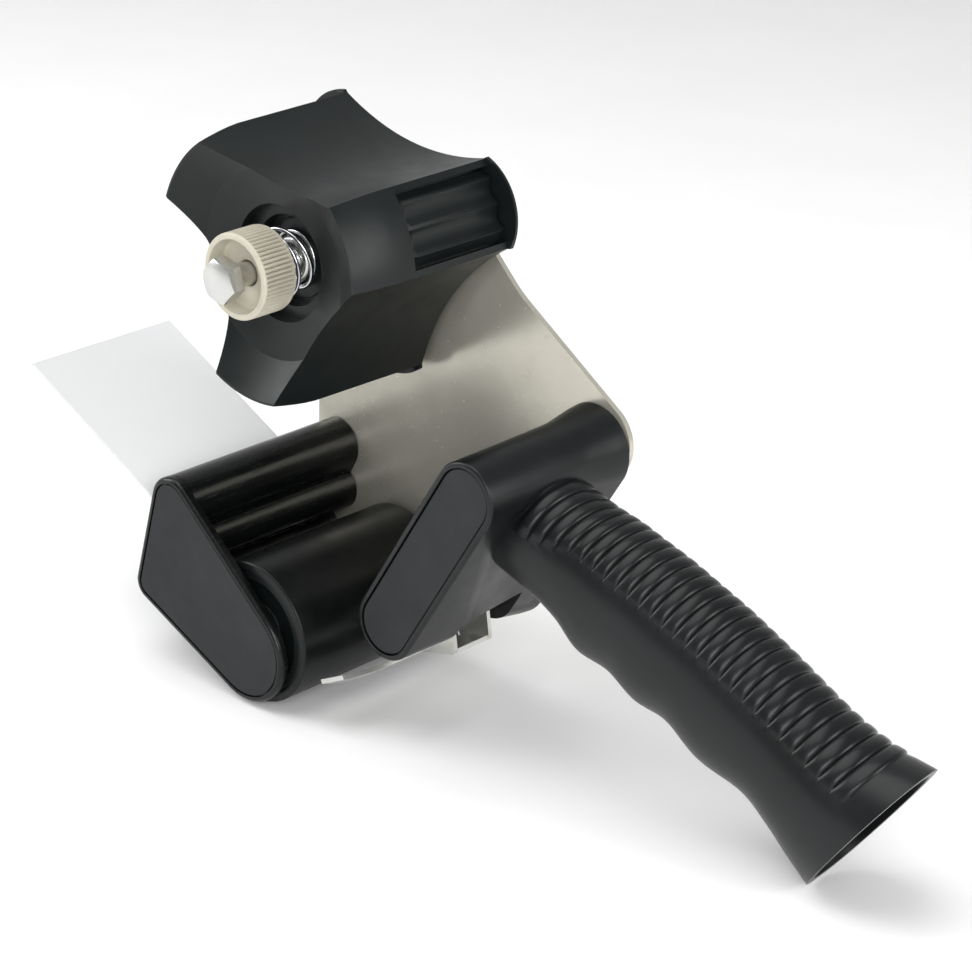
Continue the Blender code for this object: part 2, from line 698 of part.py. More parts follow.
def make_front_body():
    """Moulded body between the plate and the end cover."""
    left = belt([(*TUBE_AXIS, TUBE_RADIUS), (*BLADE_CORNER, BODY_CORNER_RADIUS)])
    block = prism("front_body", [left], SEAT, BODY_NEAR, GLOSS_BLACK)
    second = prism("second_tube_tool", [circle(SECOND_TUBE_AXIS, SECOND_TUBE_RADIUS)], SEAT, BODY_NEAR)
    foot = rounded([(-36, -84, 1), (-36, -99.2, 2), (-19.5, -105.6, 1), (-20.5, -102.4, 1), (-26, -95, 5)])
    shoe = prism("blade_shoe_tool", [foot], SEAT, BODY_NEAR)
    for tool in (second, shoe):
        combine(block, tool, "UNION")
    channel = circle(FLAP_BEAD, BEAD_RADIUS + GAP, 16)
    mouth = turned_by([(0, -0.75), (9, -3.6), (9, 3.6), (0, 0.75)], FLAP_ANGLE)
    mouth = [(x + FLAP_BEAD[0], z + FLAP_BEAD[1]) for x, z in mouth]
    for name, loop in (("bead_channel_cutter", channel), ("flap_mouth_cutter", mouth)):
        combine(block, prism(name, [loop], FLAP_FAR - GAP, BODY_NEAR + 5))
    for index, point in enumerate(BODY_SCREWS):
        combine(block, prism(f"body_bore_{index + 1}", [circle(point, 1.5 + GAP, 16)], SEAT - 5, -15.0))
    for index, point in enumerate(COVER_SCREWS):
        combine(block, prism(f"cover_bore_{index + 1}", [circle(point, 1.5 + GAP, 16)], 17.0, BODY_NEAR + 5))
    return block


def make_cover():
    """End cover with its inset plain plate and two screws hidden under it."""
    cover = prism("end_cover", [cover_outline(0)], COVER_BACK, COVER_FACE, GLOSS_BLACK)
    recess = prism("cover_recess_cutter", [cover_outline(1.5)], COVER_FACE - 0.9, COVER_FACE + 5)
    axle = turned("cover_axle_cutter", [(0, 50), (AXLE_RADIUS + GAP, 50), (AXLE_RADIUS + GAP, 0), (0, 0)],
                  point=ROLLER_AXIS)
    combine(cover, recess)
    combine(cover, axle)
    for index, point in enumerate(COVER_SCREWS):
        combine(cover, prism(f"cover_hole_{index + 1}", [circle(point, 1.9, 16)], 0, 50))
        top = COVER_FACE - 0.9 - GAP
        profile = [(0, top), (1.8 - 0.3, top), (1.5, 18.0), (0, 18.0)]
        turned(f"cover_screw_{index + 1}", profile, ZINC, point=point, steps=16)
    prism("cover_plate", [cover_outline(1.9)], COVER_FACE - 0.9 + GAP, COVER_FACE - 0.1, MATTE_GREY)


def make_blade():
    """Serrated cutting blade on the front of the body."""
    span = Vector(BLADE_CORNER) - Vector(TUBE_AXIS)
    lean = (TUBE_RADIUS - BODY_CORNER_RADIUS) / span.length
    heading = span.normalized()
    across = Vector((heading.y, -heading.x))
    out = heading * lean + across * math.sqrt(1 - lean * lean)
    along = Vector((-out.y, out.x))
    top = Vector(TUBE_AXIS) + out * (TUBE_RADIUS + GAP) + along * BLADE_TOP
    pitch = (BLADE_NEAR - BLADE_FAR) / BLADE_TEETH
    loop = [(BLADE_NEAR, 0), (BLADE_FAR, 0)]
    for tooth in range(BLADE_TEETH):
        start = BLADE_FAR + tooth * pitch
        loop += [(start, BLADE_DEPTH - TOOTH_DEPTH), (start + pitch / 2, BLADE_DEPTH)]
    loop.append((BLADE_NEAR, BLADE_DEPTH - TOOTH_DEPTH))
    rings = []
    for level in (0.0, BLADE_THICKNESS):
        start = top + out * level
        rings.append([(*(start + along * depth), w) for w, depth in loop])
    loft("cutting_blade", rings, ZINC)


# ---- roller -------------------------------------------------------------
def make_roller(roller):
    """Sleeve, hollow core closed near its open end, and two bushes on a fixed axle."""
    washer("roller_sleeve", ROLLER_RADIUS, ROLLER_RADIUS - SLEEVE_THICKNESS, ROLLER_NEAR, ROLLER_FAR,
           ROLLER_BLACK, roller, ROLLER_AXIS)
    rim = ROLLER_RADIUS - SLEEVE_THICKNESS - GAP
    back = ROLLER_WEB - 2.5
    core = [(rim, ROLLER_NEAR - 0.5), (rim, ROLLER_FAR + 0.5), (rim - 2.2, ROLLER_FAR + 0.5), (rim - 2.2, back),
            (7.4, back), (7.4, ROLLER_FAR + 0.5), (5.3, ROLLER_FAR + 0.5), (5.3, ROLLER_NEAR - 0.5),
            (7.4, ROLLER_NEAR - 0.5), (7.4, ROLLER_WEB), (rim - 2.2, ROLLER_WEB), (rim - 2.2, ROLLER_NEAR - 0.5)]
    turned("roller_core", core, SATIN_BLACK, roller, ROLLER_AXIS)
    bore = AXLE_RADIUS + GAP
    near = [(6.4, ROLLER_NEAR + 0.5), (6.4, ROLLER_NEAR - 0.2), (5.0, ROLLER_NEAR - 0.2), (5.0, 17.0),
            (bore, 17.0), (bore, ROLLER_NEAR + 0.5)]
    turned("roller_bush_near", near, NYLON, roller, ROLLER_AXIS, 24)
    far = [(5.0, -18.0), (5.0, ROLLER_FAR + 0.2), (6.4, ROLLER_FAR + 0.2), (6.4, ROLLER_FAR - 0.5),
           (bore, ROLLER_FAR - 0.5), (bore, -18.0)]
    turned("roller_bush_far", far, NYLON, roller, ROLLER_AXIS, 24)


def make_axle():
    """Fixed roller axle: shouldered pin through plate and cover, with its clip."""
    face = PLATE_OUTER - GAP
    profile = [(0, COVER_FACE - 1.2), (AXLE_RADIUS, COVER_FACE - 1.2), (AXLE_RADIUS, face), (5.4, face),
               (5.0, face - 2.2), (0, face - 2.5)]
    turned("roller_axle", profile, ZINC, point=ROLLER_AXIS, steps=24)
    washer("roller_spacer", 6.2, AXLE_RADIUS + GAP, ROLLER_FAR - 0.5 - GAP, SEAT, NYLON, point=ROLLER_AXIS)


# ---- wiper flap ---------------------------------------------------------
def make_flap(flap):
    """Clear sheet with a bead that sits in the body's channel."""
    sheet = strip([FLAP_BEAD, tuple(FLAP_TIP)], FLAP_THICKNESS)
    piece = prism("wiper_flap", [sheet], FLAP_FAR, FLAP_NEAR, CLEAR, flap, FLAP_BEAD)
    bead = prism("flap_bead_tool", [circle(FLAP_BEAD, BEAD_RADIUS, 16)], FLAP_FAR, FLAP_NEAR)
    combine(piece, bead, "UNION")


# ---- tape tongue --------------------------------------------------------
def tongue_ring(w):
    """Section of the tongue's strip at w: it curls up towards its open end."""
    share = max(0.0, (w - TONGUE_CURL_START) / (TONGUE_NEAR - TONGUE_CURL_START))
    curl = TONGUE_CURL * share * share
    tip = (TONGUE_TIP[0], TONGUE_TIP[1] + curl)
    elbow = (TONGUE_ELBOW[0], TONGUE_ELBOW[1] + curl * 0.5)
    return [(x, z, w) for x, z in strip([tip, elbow], TONGUE_SHEET)]


def make_tongue(tongue):
    """Sprung sheet-steel tongue: toothed strip and a bent foot whose two cheeks hold the pivot pin."""
    steps = 10
    levels = [TONGUE_CURL_START + (TONGUE_NEAR - TONGUE_CURL_START) * i / steps for i in range(steps + 1)]
    tongue_piece = loft("tape_tongue", [tongue_ring(w) for w in [TONGUE_FAR] + levels], ZINC, tongue, TONGUE_PIVOT)
    foot = strip([tuple(Vector(TONGUE_ELBOW).lerp(Vector(TONGUE_TIP), 0.15)), TONGUE_ELBOW, TONGUE_HEEL], TONGUE_SHEET)
    combine(tongue_piece, prism("tongue_foot_tool", [foot], CHEEK_FAR, CHEEK_NEAR), "UNION")
    cheek = belt([(*TONGUE_PIVOT, 3.4), (TONGUE_ELBOW[0] + 1.2, TONGUE_ELBOW[1] + 0.8, 1.0),
                  (TONGUE_HEEL[0] - 0.6, TONGUE_HEEL[1] + 0.5, 1.0)])
    for name, w0 in (("near", CHEEK_NEAR - TONGUE_SHEET), ("far", CHEEK_FAR)):
        combine(tongue_piece, prism(f"{name}_cheek_tool", [cheek], w0, w0 + TONGUE_SHEET), "UNION")
    combine(tongue_piece, prism("tongue_hole_cutter", [circle(TONGUE_PIVOT, PIN_RADIUS + GAP, 16)], -40, 40))
    pitch = (TONGUE_NEAR - TONGUE_FAR) / TONGUE_TEETH
    tip = Vector(TONGUE_TIP)
    heading = (Vector(TONGUE_ELBOW) - tip).normalized()
    across = Vector((-heading.y, heading.x)) * 8
    for index in range(1, TONGUE_TEETH):
        middle = TONGUE_FAR + pitch * index
        rings = []
        for level in (-across, across):
            mouth = tip + level - heading * 3
            notch = tip + level + heading * TONGUE_NOTCH
            rings.append([(*mouth, middle - 2.2), (*mouth, middle + 2.2), (*notch, middle)])
        combine(tongue_piece, loft(f"tooth_gap_cutter_{index}", rings))


def make_tongue_spring():
    """Torsion spring round the pivot pin, with a leg down each side."""
    radius = 2.5
    turns = 4
    low = -13.0
    high = -6.0
    path = []
    count = turns * 14
    for index in range(count + 1):
        angle = math.tau * turns * index / count - math.pi / 2
        level = low + (high - low) * index / count
        path.append((TONGUE_PIVOT[0] + radius * math.cos(angle), TONGUE_PIVOT[1] + radius * math.sin(angle), level))
    first = path[0]
    last = path[-1]
    legs = [(first[0] - 1.5, first[1] - 0.3, first[2]), (first[0] - 4.4, first[1] - 5.2, first[2])]
    tail = [(last[0] + 1.5, last[1] - 0.2, last[2]), (last[0] + 3.0, last[1] - 4.0, last[2])]
    wire("tongue_spring", legs[::-1] + path + tail, 0.4, SPRING_STEEL)


# ---- handle and its housing ---------------------------------------------
def housing_circles(radius):
    """The two end circles of the housing's outline."""
    axis = Vector((math.cos(HOUSING_ANGLE), math.sin(HOUSING_ANGLE))) * HOUSING_HALF
    top = Vector(HOUSING_CENTRE) + axis
    low = Vector(HOUSING_CENTRE) - axis
    return [(top.x, top.y, radius), (low.x, low.y, radius)]


def housing_ring(grow, w):
    """Section of the housing at w, larger by grow."""
    return [(x, z, w) for x, z in belt(housing_circles(HOUSING_RADIUS + grow))]


def notch_ring(w):
    """Section of the tongue's notch at w: its edge beside the handle is higher near the plate."""
    rise = NOTCH_RISE * (CHEEK_NEAR - w) / (CHEEK_NEAR - NOTCH_FAR)
    corners = [(24.0, -86.5), (24.0, -110), (56.0 + rise, -110), (56.0 + rise, -91.0 + rise), (46.0 + rise, -88.0 + rise)]
    return [(x, z, w) for x, z in corners]


def make_handle_housing():
    """Housing and hollow handle, moulded in one piece."""
    rings = [housing_ring(-0.8, HOUSING_NEAR), housing_ring(0, HOUSING_NEAR - 0.8), housing_ring(0.3, -15.0),
             housing_ring(FLARE * 0.5, -23.0), housing_ring(FLARE, SEAT)]
    shell = loft("handle_housing", rings, SATIN_BLACK)
    stations = [(-7.0, 0.0)]
    for rib in range(RIB_COUNT):
        groove = RIB_START + RIB_PITCH * rib
        stations += [(groove, 0.0), (groove + RIB_PITCH * 0.5, RIB_HEIGHT)]
    stations += [(RIB_START + RIB_PITCH * RIB_COUNT, 0.0), (HANDLE_LENGTH, 0.0)]
    grip = loft("handle_tool", [handle_ring(along, 0.0, ribs) for along, ribs in stations])
    combine(shell, grip, "UNION")
    hollow = prism("housing_hollow_cutter", [belt(housing_circles(HOUSING_RADIUS - HOUSING_WALL))], -50,
                   HOUSING_NEAR - 3.6)
    steps = [-4.0, 8.0, 20.0, 32.0, 44.0, 56.0, 68.0, 78.0, 86.0, 94.0, 102.0, HANDLE_LENGTH, HANDLE_LENGTH + 9]
    bore = loft("handle_bore_cutter", [handle_ring(along, HANDLE_WALL, 0.0, 20) for along in steps])
    combine(shell, hollow)
    combine(shell, bore)
    for index, point in enumerate(HOUSING_SCREWS):
        combine(shell, prism(f"boss_tool_{index + 1}", [circle(point, 3.6, 16)], SEAT, HOUSING_NEAR - 3), "UNION")
    low = housing_circles(HOUSING_RADIUS - 1.0)[1]
    web = belt([low, (low[0] + 3.4, low[1] + 5.7, low[2])])
    for index, w0 in enumerate((CHEEK_NEAR + 1.0, CHEEK_FAR - 1.0 - PIN_WEB)):
        combine(shell, prism(f"pin_web_tool_{index + 1}", [web], w0, w0 + PIN_WEB), "UNION")
    for index, point in enumerate(HOUSING_SCREWS):
        combine(shell, prism(f"boss_bore_{index + 1}", [circle(point, 1.5 + GAP, 16)], -40, -12))
    combine(shell, loft("tongue_notch_cutter", [notch_ring(w) for w in (NOTCH_FAR, CHEEK_NEAR + 0.8)]))
    pin_hole = prism("pin_hole_cutter", [circle(TONGUE_PIVOT, PIN_RADIUS + GAP, 16)], PIN_FAR - GAP, PIN_NEAR + GAP)
    recess = prism("cap_recess_cutter", [belt(housing_circles(HOUSING_RADIUS - 1.5))], HOUSING_NEAR - 1.6, 30)
    combine(shell, pin_hole)
    combine(shell, recess)
    prism("housing_cap", [belt(housing_circles(HOUSING_RADIUS - 1.9))], HOUSING_NEAR - 1.3, HOUSING_NEAR - 0.2,
          MATTE_GREY)


def main():
    """Build the gun."""
    hub = body("hub_axis", HUB_AXIS)
    knob_travel = body("knob_travel_axis", HUB_AXIS, KNOB_BACK)
    knob = body("knob_axis", HUB_AXIS, KNOB_BACK)
    roller = body("roller_spin_axis", ROLLER_AXIS)
    tongue = body("tongue_axis", TONGUE_PIVOT)
    flap = body("flap_axis", FLAP_BEAD)
    make_side_plate()
    make_front_body()
    make_cover()
    make_blade()
    make_roller(roller)
    make_axle()
    make_flap(flap)
    make_tongue(tongue)
    make_tongue_spring()
    turned("tongue_pin", [(0, PIN_NEAR), (PIN_RADIUS, PIN_NEAR), (PIN_RADIUS, PIN_FAR), (0, PIN_FAR)], ZINC,
           point=TONGUE_PIVOT, steps=16)
    make_handle_housing()
    for index, point in enumerate(BODY_SCREWS):
        plate_screw(f"front_body_screw_{index + 1}", point, -16.0)
    for index, point in enumerate(HOUSING_SCREWS):
        plate_screw(f"housing_screw_{index + 1}", point, -13.0)
    make_hub(hub)
    make_grips(hub)
    make_hub_bush(hub)
    make_spindle()
    make_brake(knob_travel)
    make_spring()
    make_knob(knob)


main()
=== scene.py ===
"""Looks of the tape gun dispenser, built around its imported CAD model.

Flat outlines are in millimetres in the plane of the side plate: (x, z) is
measured from the axis of the tape hub, and w grows from the side plate towards
the open side.  PLANE turns such a point into the model's own frame, in metres.
"""
import json
import math

import bmesh
import bpy
from mathutils import Matrix, Vector

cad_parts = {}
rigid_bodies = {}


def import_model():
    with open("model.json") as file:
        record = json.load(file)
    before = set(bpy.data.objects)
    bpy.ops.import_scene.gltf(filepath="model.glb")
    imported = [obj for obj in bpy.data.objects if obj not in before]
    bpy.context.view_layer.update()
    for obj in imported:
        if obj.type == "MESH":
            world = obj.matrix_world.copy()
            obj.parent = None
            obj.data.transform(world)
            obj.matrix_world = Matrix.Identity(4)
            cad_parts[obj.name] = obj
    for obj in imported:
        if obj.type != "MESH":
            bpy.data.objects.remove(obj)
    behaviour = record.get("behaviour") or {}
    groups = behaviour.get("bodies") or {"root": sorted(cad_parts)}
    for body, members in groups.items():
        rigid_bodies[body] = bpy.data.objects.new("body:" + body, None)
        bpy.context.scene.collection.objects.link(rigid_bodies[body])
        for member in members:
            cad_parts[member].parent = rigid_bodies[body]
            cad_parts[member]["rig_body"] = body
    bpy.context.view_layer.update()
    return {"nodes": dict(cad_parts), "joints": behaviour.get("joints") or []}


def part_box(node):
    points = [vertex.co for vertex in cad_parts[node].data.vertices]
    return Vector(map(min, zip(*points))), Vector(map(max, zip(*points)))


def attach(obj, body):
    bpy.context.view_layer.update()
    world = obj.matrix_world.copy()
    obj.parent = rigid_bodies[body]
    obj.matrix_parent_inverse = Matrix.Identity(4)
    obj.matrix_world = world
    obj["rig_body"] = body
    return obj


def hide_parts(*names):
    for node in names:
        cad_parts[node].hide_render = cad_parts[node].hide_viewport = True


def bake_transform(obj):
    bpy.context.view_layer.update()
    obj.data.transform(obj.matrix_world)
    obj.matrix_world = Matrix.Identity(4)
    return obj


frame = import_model()

MM = 0.001
GAP = 0.3
JOINTS = {joint["name"]: joint for joint in frame["joints"]}
HUB = Vector(JOINTS["hub_spin"]["pos_m"])
ROLLER = Vector(JOINTS["roller_spin"]["pos_m"])
STANCE = math.atan2(ROLLER.x - HUB.x, HUB.z - ROLLER.z)
HUB_TO_ROLLER = (HUB - ROLLER).length / MM


def plane_matrix():
    """Matrix from (x, z, w) in millimetres to the model's frame."""
    cosine, sine = math.cos(STANCE), math.sin(STANCE)
    turn = Matrix(((cosine, -sine, 0), (0, 0, -1), (sine, cosine, 0)))
    return Matrix.Translation(HUB) @ turn.to_4x4() @ Matrix.Scale(MM, 4)


PLANE = plane_matrix()


def cad_range(node):
    """Lowest and highest w of a CAD node, in millimetres."""
    low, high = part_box(node)
    return (HUB.y - high.y) / MM, (HUB.y - low.y) / MM


# ---- sizes, in millimetres ----------------------------------------------
HUB_AXIS = (0.0, 0.0)
ROLLER_AXIS = (0.0, -HUB_TO_ROLLER)
PLATE_OUTER, PLATE_INNER = cad_range("side_plate")
SEAT = PLATE_INNER + GAP

HUB_LOBES = 3
LOBE_ANGLE = math.radians(23.5)
LOBE_HALF_ANGLE = math.radians(18.0)
CORE_RADIUS = 37.5
CORE_STOP_RADIUS = 40.7
CORE_STOP_THICKNESS = 1.1
LOBE_ROOT_RADIUS = 36.6
LOBE_MIDDLE_RADIUS = 36.2
LOBE_TIP_RADIUS = 34.1
LEAD_IN_START = 12.0
VALLEY_FAR = 22.4
VALLEY_NEAR = 20.4
HUB_FAR, HUB_NEAR = cad_range("hub_body")
DISH_RIM = 33.5
DISH_EDGE = (24.0, 20.0)
RECESS_RADIUS = 14.85
RECESS_RIM = 17.6
RECESS_STEP = (11.6, 14.2)
RECESS_FLOOR = 10.6
HUB_CEILING = 6.5
HUB_WALL = 2.6
HUB_HOLLOW_RADIUS = 30.4
HUB_TUBE_RADIUS = 9.0
HUB_BORE = 5.3
GRIP_FAR, GRIP_NEAR = cad_range("core_grip_pad_1")
GRIP_HALF_ANGLE = math.radians(14.8)
GRIP_RADIUS = 36.3
GRIP_DEPTH = 3.4
GRIP_RIDGE_PITCH = math.radians(10.4)
GRIP_FLUTE_DEPTH = 1.9

BOLT_RADIUS = 2.95
BOLT_CLEARANCE = 3.3
BOLT_END, BOLT_HEAD_FACE = cad_range("spindle_bolt")
BOLT_HEAD_HEIGHT = 4.0
HEX_ACROSS_FLATS = 10.0
HEX_TURN = math.radians(48)
THREAD_PITCH = 1.0
THREAD_START = 24.0
KNOB_RADIUS = 10.9
KNOB_BACK, KNOB_FRONT = cad_range("tension_knob")
KNOB_CUP_RADIUS = 8.9
KNOB_CUP_FLOOR = 28.0
KNOB_SEAT_RADIUS = 9.6
KNOB_SEAT_FLOOR = 26.4
KNURLS = 60
KNURL_DEPTH = 0.8
SPRING_RADIUS = 8.6
SPRING_FOOT_RADIUS = 7.0
SPRING_WIRE = 0.5
SPRING_START = math.radians(-75)
SPRING_RISE = [(0.0, 12.45), (1.0, 12.65), (1.46, 17.2), (2.2, 19.2), (2.9, 23.9), (3.4, 24.2)]

ROLLER_RADIUS = 18.9
ROLLER_FAR, ROLLER_NEAR = -27.0, 26.0
SLEEVE_THICKNESS = 2.2
ROLLER_WEB = 23.5
CORE_WALL = 2.2
CORE_TUBE_RADIUS = 7.4
CORE_BORE = 5.3
AXLE_RADIUS = 3.0

TUBE_AXIS = (-27.6, -70.3)
TUBE_RADIUS = 7.3
SECOND_TUBE_AXIS = (-26.8, -82.4)
SECOND_TUBE_RADIUS = 6.2
BLADE_CORNER = (-36.4, -95.7)
BLADE_CORNER_RADIUS = 5.0
BODY_CORNER_RADIUS = 3.8
COVER_ROLLER_CORNER = (0.0, -101.6)
COVER_ROLLER_RADIUS = 14.0
COVER_BACK, COVER_FACE = cad_range("end_cover")
BODY_NEAR = COVER_BACK - GAP
BODY_SCREWS = [TUBE_AXIS, (-33.8, -93.2)]
HOUSING_SCREWS = [(62.4, -42.7), (45.0, -72.1)]
SCREW_CLEARANCE = 1.9
SCREW_RADIUS = 1.5
SCREW_HEAD_RADIUS = 3.2

FLAP_BEAD = (-33.6, -74.9)
FLAP_ANGLE = math.radians(154.4)
FLAP_LENGTH = 58.6
FLAP_THICKNESS = 0.8
FLAP_FAR, FLAP_NEAR = cad_range("wiper_flap")
BEAD_RADIUS = 1.3

TONGUE_PIVOT = (38.5, -87.6)
TONGUE_TIP = (23.9, -106.4)
TONGUE_ELBOW = (31.6, -100.6)
TONGUE_HEEL = (43.2, -97.3)
TONGUE_SHEET = 1.2
TONGUE_NEAR = 25.0
TONGUE_FAR = -24.0
TONGUE_CURL_START = 5.0
TONGUE_CURL = 3.4
CHEEK_NEAR = -2.4
CHEEK_FAR = -16.2
TONGUE_TEETH = 9
TONGUE_NOTCH = 1.6
PIN_RADIUS = 1.3
PIN_WEB = 1.8
NOTCH_FAR = -20.5
NOTCH_RISE = 4.0

HOUSING_CENTRE = (49.8, -64.05)
HOUSING_ANGLE = math.radians(59.3)
HOUSING_HALF = 24.8
HOUSING_RADIUS = 9.35
HOUSING_NEAR = 16.5
HOUSING_WALL = 2.2
FLARE = 2.0
HANDLE_ANGLE = math.radians(21.0)
HANDLE_ROOT = (66.2, -54.9)
HANDLE_W = -7.0
HANDLE_LENGTH = 112.1
HANDLE_HALF_WIDTH = 13.6
HANDLE_END_HALF_WIDTH = 15.0
HANDLE_WALL = 2.4
HANDLE_END_LEAN = 0.25
HANDLE_END_SKEW = 0.08
# height of the back above the handle's axis, and depth of the finger side below it
GRIP_BACK = [(0, 14.2), (12, 14.9), (24, 17.2), (45, 18.8), (70, 18.5), (90, 16.5), (102, 17.3),
             (108, 19.8), (112, 21.1)]
GRIP_FINGERS = [(0, 14.2), (12, 13.6), (20, 14.7), (28, 17.6), (38, 15.7), (47.5, 17.0), (57.5, 14.8),
                (69, 17.0), (84, 14.9), (95, 17.1), (104, 19.9), (112, 22.5)]
RIB_COUNT = 27
RIB_PITCH = 3.8
RIB_START = 2.2
RIB_HEIGHT = 0.8
RIB_EDGE = 0.52
HANDLE_DIRECTION = Vector((math.cos(HANDLE_ANGLE), -math.sin(HANDLE_ANGLE)))
HANDLE_UP = Vector((math.sin(HANDLE_ANGLE), math.cos(HANDLE_ANGLE)))

ARC_STEP = math.radians(4)
TURN_STEPS = 96


# ---- outlines -----------------------------------------------------------
def arc(centre, radius, start, end, step=ARC_STEP):
    """Points on an arc from angle start to angle end, both ends included."""
    count = max(2, math.ceil(abs(end - start) / step) + 1)
    angles = [start + (end - start) * i / (count - 1) for i in range(count)]
    return [(centre[0] + radius * math.cos(a), centre[1] + radius * math.sin(a)) for a in angles]


def circle(centre, radius, count=64):
    """Points of a full circle."""
    angles = [math.tau * i / count for i in range(count)]
    return [(centre[0] + radius * math.cos(a), centre[1] + radius * math.sin(a)) for a in angles]


def belt(circles):
    """Outline of a belt pulled round circles (x, z, radius), listed anticlockwise."""
    tangents = []
    for (x0, z0, r0), (x1, z1, r1) in zip(circles, circles[1:] + circles[:1]):
        direction = math.atan2(z1 - z0, x1 - x0)
        tangents.append(direction - math.acos((r0 - r1) / math.hypot(x1 - x0, z1 - z0)))
    points = []
    for index, (x, z, radius) in enumerate(circles):
        start = tangents[index - 1]
        end = start + (tangents[index] - start) % math.tau
        points += arc((x, z), radius, start, end)
    return points


def rounded(corners):
    """Closed polygon whose corners (x, z, radius) are rounded."""
    points = []
    for index, (x, z, radius) in enumerate(corners):
        here = Vector((x, z))
        before = (Vector(corners[index - 1][:2]) - here).normalized()
        after = (Vector(corners[(index + 1) % len(corners)][:2]) - here).normalized()
        half = before.angle(after) / 2
        centre = here + (before + after).normalized() * (radius / math.sin(half))
        first = here + before * (radius / math.tan(half)) - centre
        last = here + after * (radius / math.tan(half)) - centre
        start = math.atan2(first.y, first.x)
        sweep = (math.atan2(last.y, last.x) - start + math.pi) % math.tau - math.pi
        points += arc(centre, radius, start, start + sweep)
    return points


def strip(points, thickness):
    """Outline of a bent strip of sheet: the points are its middle line."""
    left = []
    right = []
    for index, point in enumerate(points):
        here = Vector(point)
        legs = []
        if index > 0:
            legs.append((here - Vector(points[index - 1])).normalized())
        if index < len(points) - 1:
            legs.append((Vector(points[index + 1]) - here).normalized())
        heading = sum(legs, Vector((0, 0))).normalized()
        normal = Vector((-heading.y, heading.x)) * (thickness / 2 / heading.dot(legs[0]))
        left.append(tuple(here + normal))
        right.append(tuple(here - normal))
    return right + left[::-1]


def turned_by(points, angle):
    """The same points, turned about the hub's axis."""
    turn = Matrix.Rotation(angle, 2)
    return [tuple(turn @ Vector(p)) for p in points]


def smooth(low, high, value):
    """Smooth step from 0 at low to 1 at high."""
    share = min(1.0, max(0.0, (value - low) / (high - low)))
    return share * share * (3 - 2 * share)


def through(knots, value):
    """Height at value of a smooth curve through knots (place, height)."""
    index = sum(1 for place, height in knots[1:-1] if place <= value)
    places = [place for place, height in knots]
    heights = [height for place, height in knots]
    slopes = []
    for end in (index, index + 1):
        low = max(0, end - 1)
        high = min(len(knots) - 1, end + 1)
        slopes.append((heights[high] - heights[low]) / (places[high] - places[low]))
    span = places[index + 1] - places[index]
    share = min(1.0, max(0.0, (value - places[index]) / span))
    blend = share * share * (3 - 2 * share)
    bulge = span * share * (1 - share) * (slopes[0] * (1 - share) - slopes[1] * share)
    return heights[index] * (1 - blend) + heights[index + 1] * blend + bulge


# ---- solids -------------------------------------------------------------
def new_object(name, mesh):
    """Object in the scene for a mesh in the model's frame."""
    made = bpy.data.objects.new(name, mesh)
    bpy.context.scene.collection.objects.link(made)
    return made


def evaluated_mesh(shape):
    """Mesh of a curve or modified object, which is then removed."""
    graph = bpy.context.evaluated_depsgraph_get()
    mesh = bpy.data.meshes.new_from_object(shape.evaluated_get(graph))
    bpy.data.objects.remove(shape)
    return mesh


def welded(mesh, distance=0.001):
    """The mesh with its doubled points joined."""
    work = bmesh.new()
    work.from_mesh(mesh)
    bmesh.ops.remove_doubles(work, verts=work.verts, dist=distance)
    work.to_mesh(mesh)
    work.free()
    mesh.materials.clear()
    return mesh


def prism(name, loops, w0, w1):
    """Flat outline, with any holes, extruded from w0 to w1."""
    curve = bpy.data.curves.new(name, "CURVE")
    curve.dimensions = "2D"
    curve.fill_mode = "BOTH"
    curve.extrude = (w1 - w0) / 2
    for loop in loops:
        spline = curve.splines.new("POLY")
        spline.points.add(len(loop) - 1)
        for spot, (x, z) in zip(spline.points, loop):
            spot.co = (x, z, 0, 1)
        spline.use_cyclic_u = True
    mesh = welded(evaluated_mesh(new_object(name, curve)))
    mesh.transform(PLANE @ Matrix.Translation((0, 0, (w0 + w1) / 2)))
    return new_object(name, mesh)


def turned(name, profile, point=HUB_AXIS, steps=TURN_STEPS, reach=None):
    """Turned piece: profile (radius, w) runs down its outer side, from high w to low w."""
    work = bmesh.new()
    rows = []
    for step in range(steps):
        angle = math.tau * step / steps
        row = []
        for radius, w in profile:
            radius = reach(radius, w, angle) if reach else radius
            spot = (point[0] + radius * math.cos(angle), point[1] + radius * math.sin(angle), w)
            row.append(work.verts.new(spot))
        rows.append(row)
    last = len(profile) if profile[0][0] > 0 else len(profile) - 1
    for row, after in zip(rows, rows[1:] + rows[:1]):
        for i in range(last):
            j = (i + 1) % len(profile)
            work.faces.new((row[i], row[j], after[j], after[i]))
    return from_bmesh(name, work)


def from_bmesh(name, work):
    """Object for a bmesh in plane coordinates, with doubled points joined and faces turned out."""
    bmesh.ops.remove_doubles(work, verts=work.verts, dist=0.001)
    bmesh.ops.recalc_face_normals(work, faces=work.faces)
    mesh = bpy.data.meshes.new(name)
    work.to_mesh(mesh)
    work.free()
    mesh.transform(PLANE)
    return new_object(name, mesh)


def skin(work, rows):
    """Bands of faces between closed rows of points."""
    for low, high in zip(rows, rows[1:]):
        for i in range(len(low)):
            j = (i + 1) % len(low)
            work.faces.new((low[i], low[j], high[j], high[i]))


def loft(name, rings):
    """Skin through rings of (x, z, w) points, closed at both ends."""
    work = bmesh.new()
    rows = [[work.verts.new(point) for point in ring] for ring in rings]
    skin(work, rows)
    work.faces.new(rows[0][::-1])
    work.faces.new(rows[-1])
    return from_bmesh(name, work)


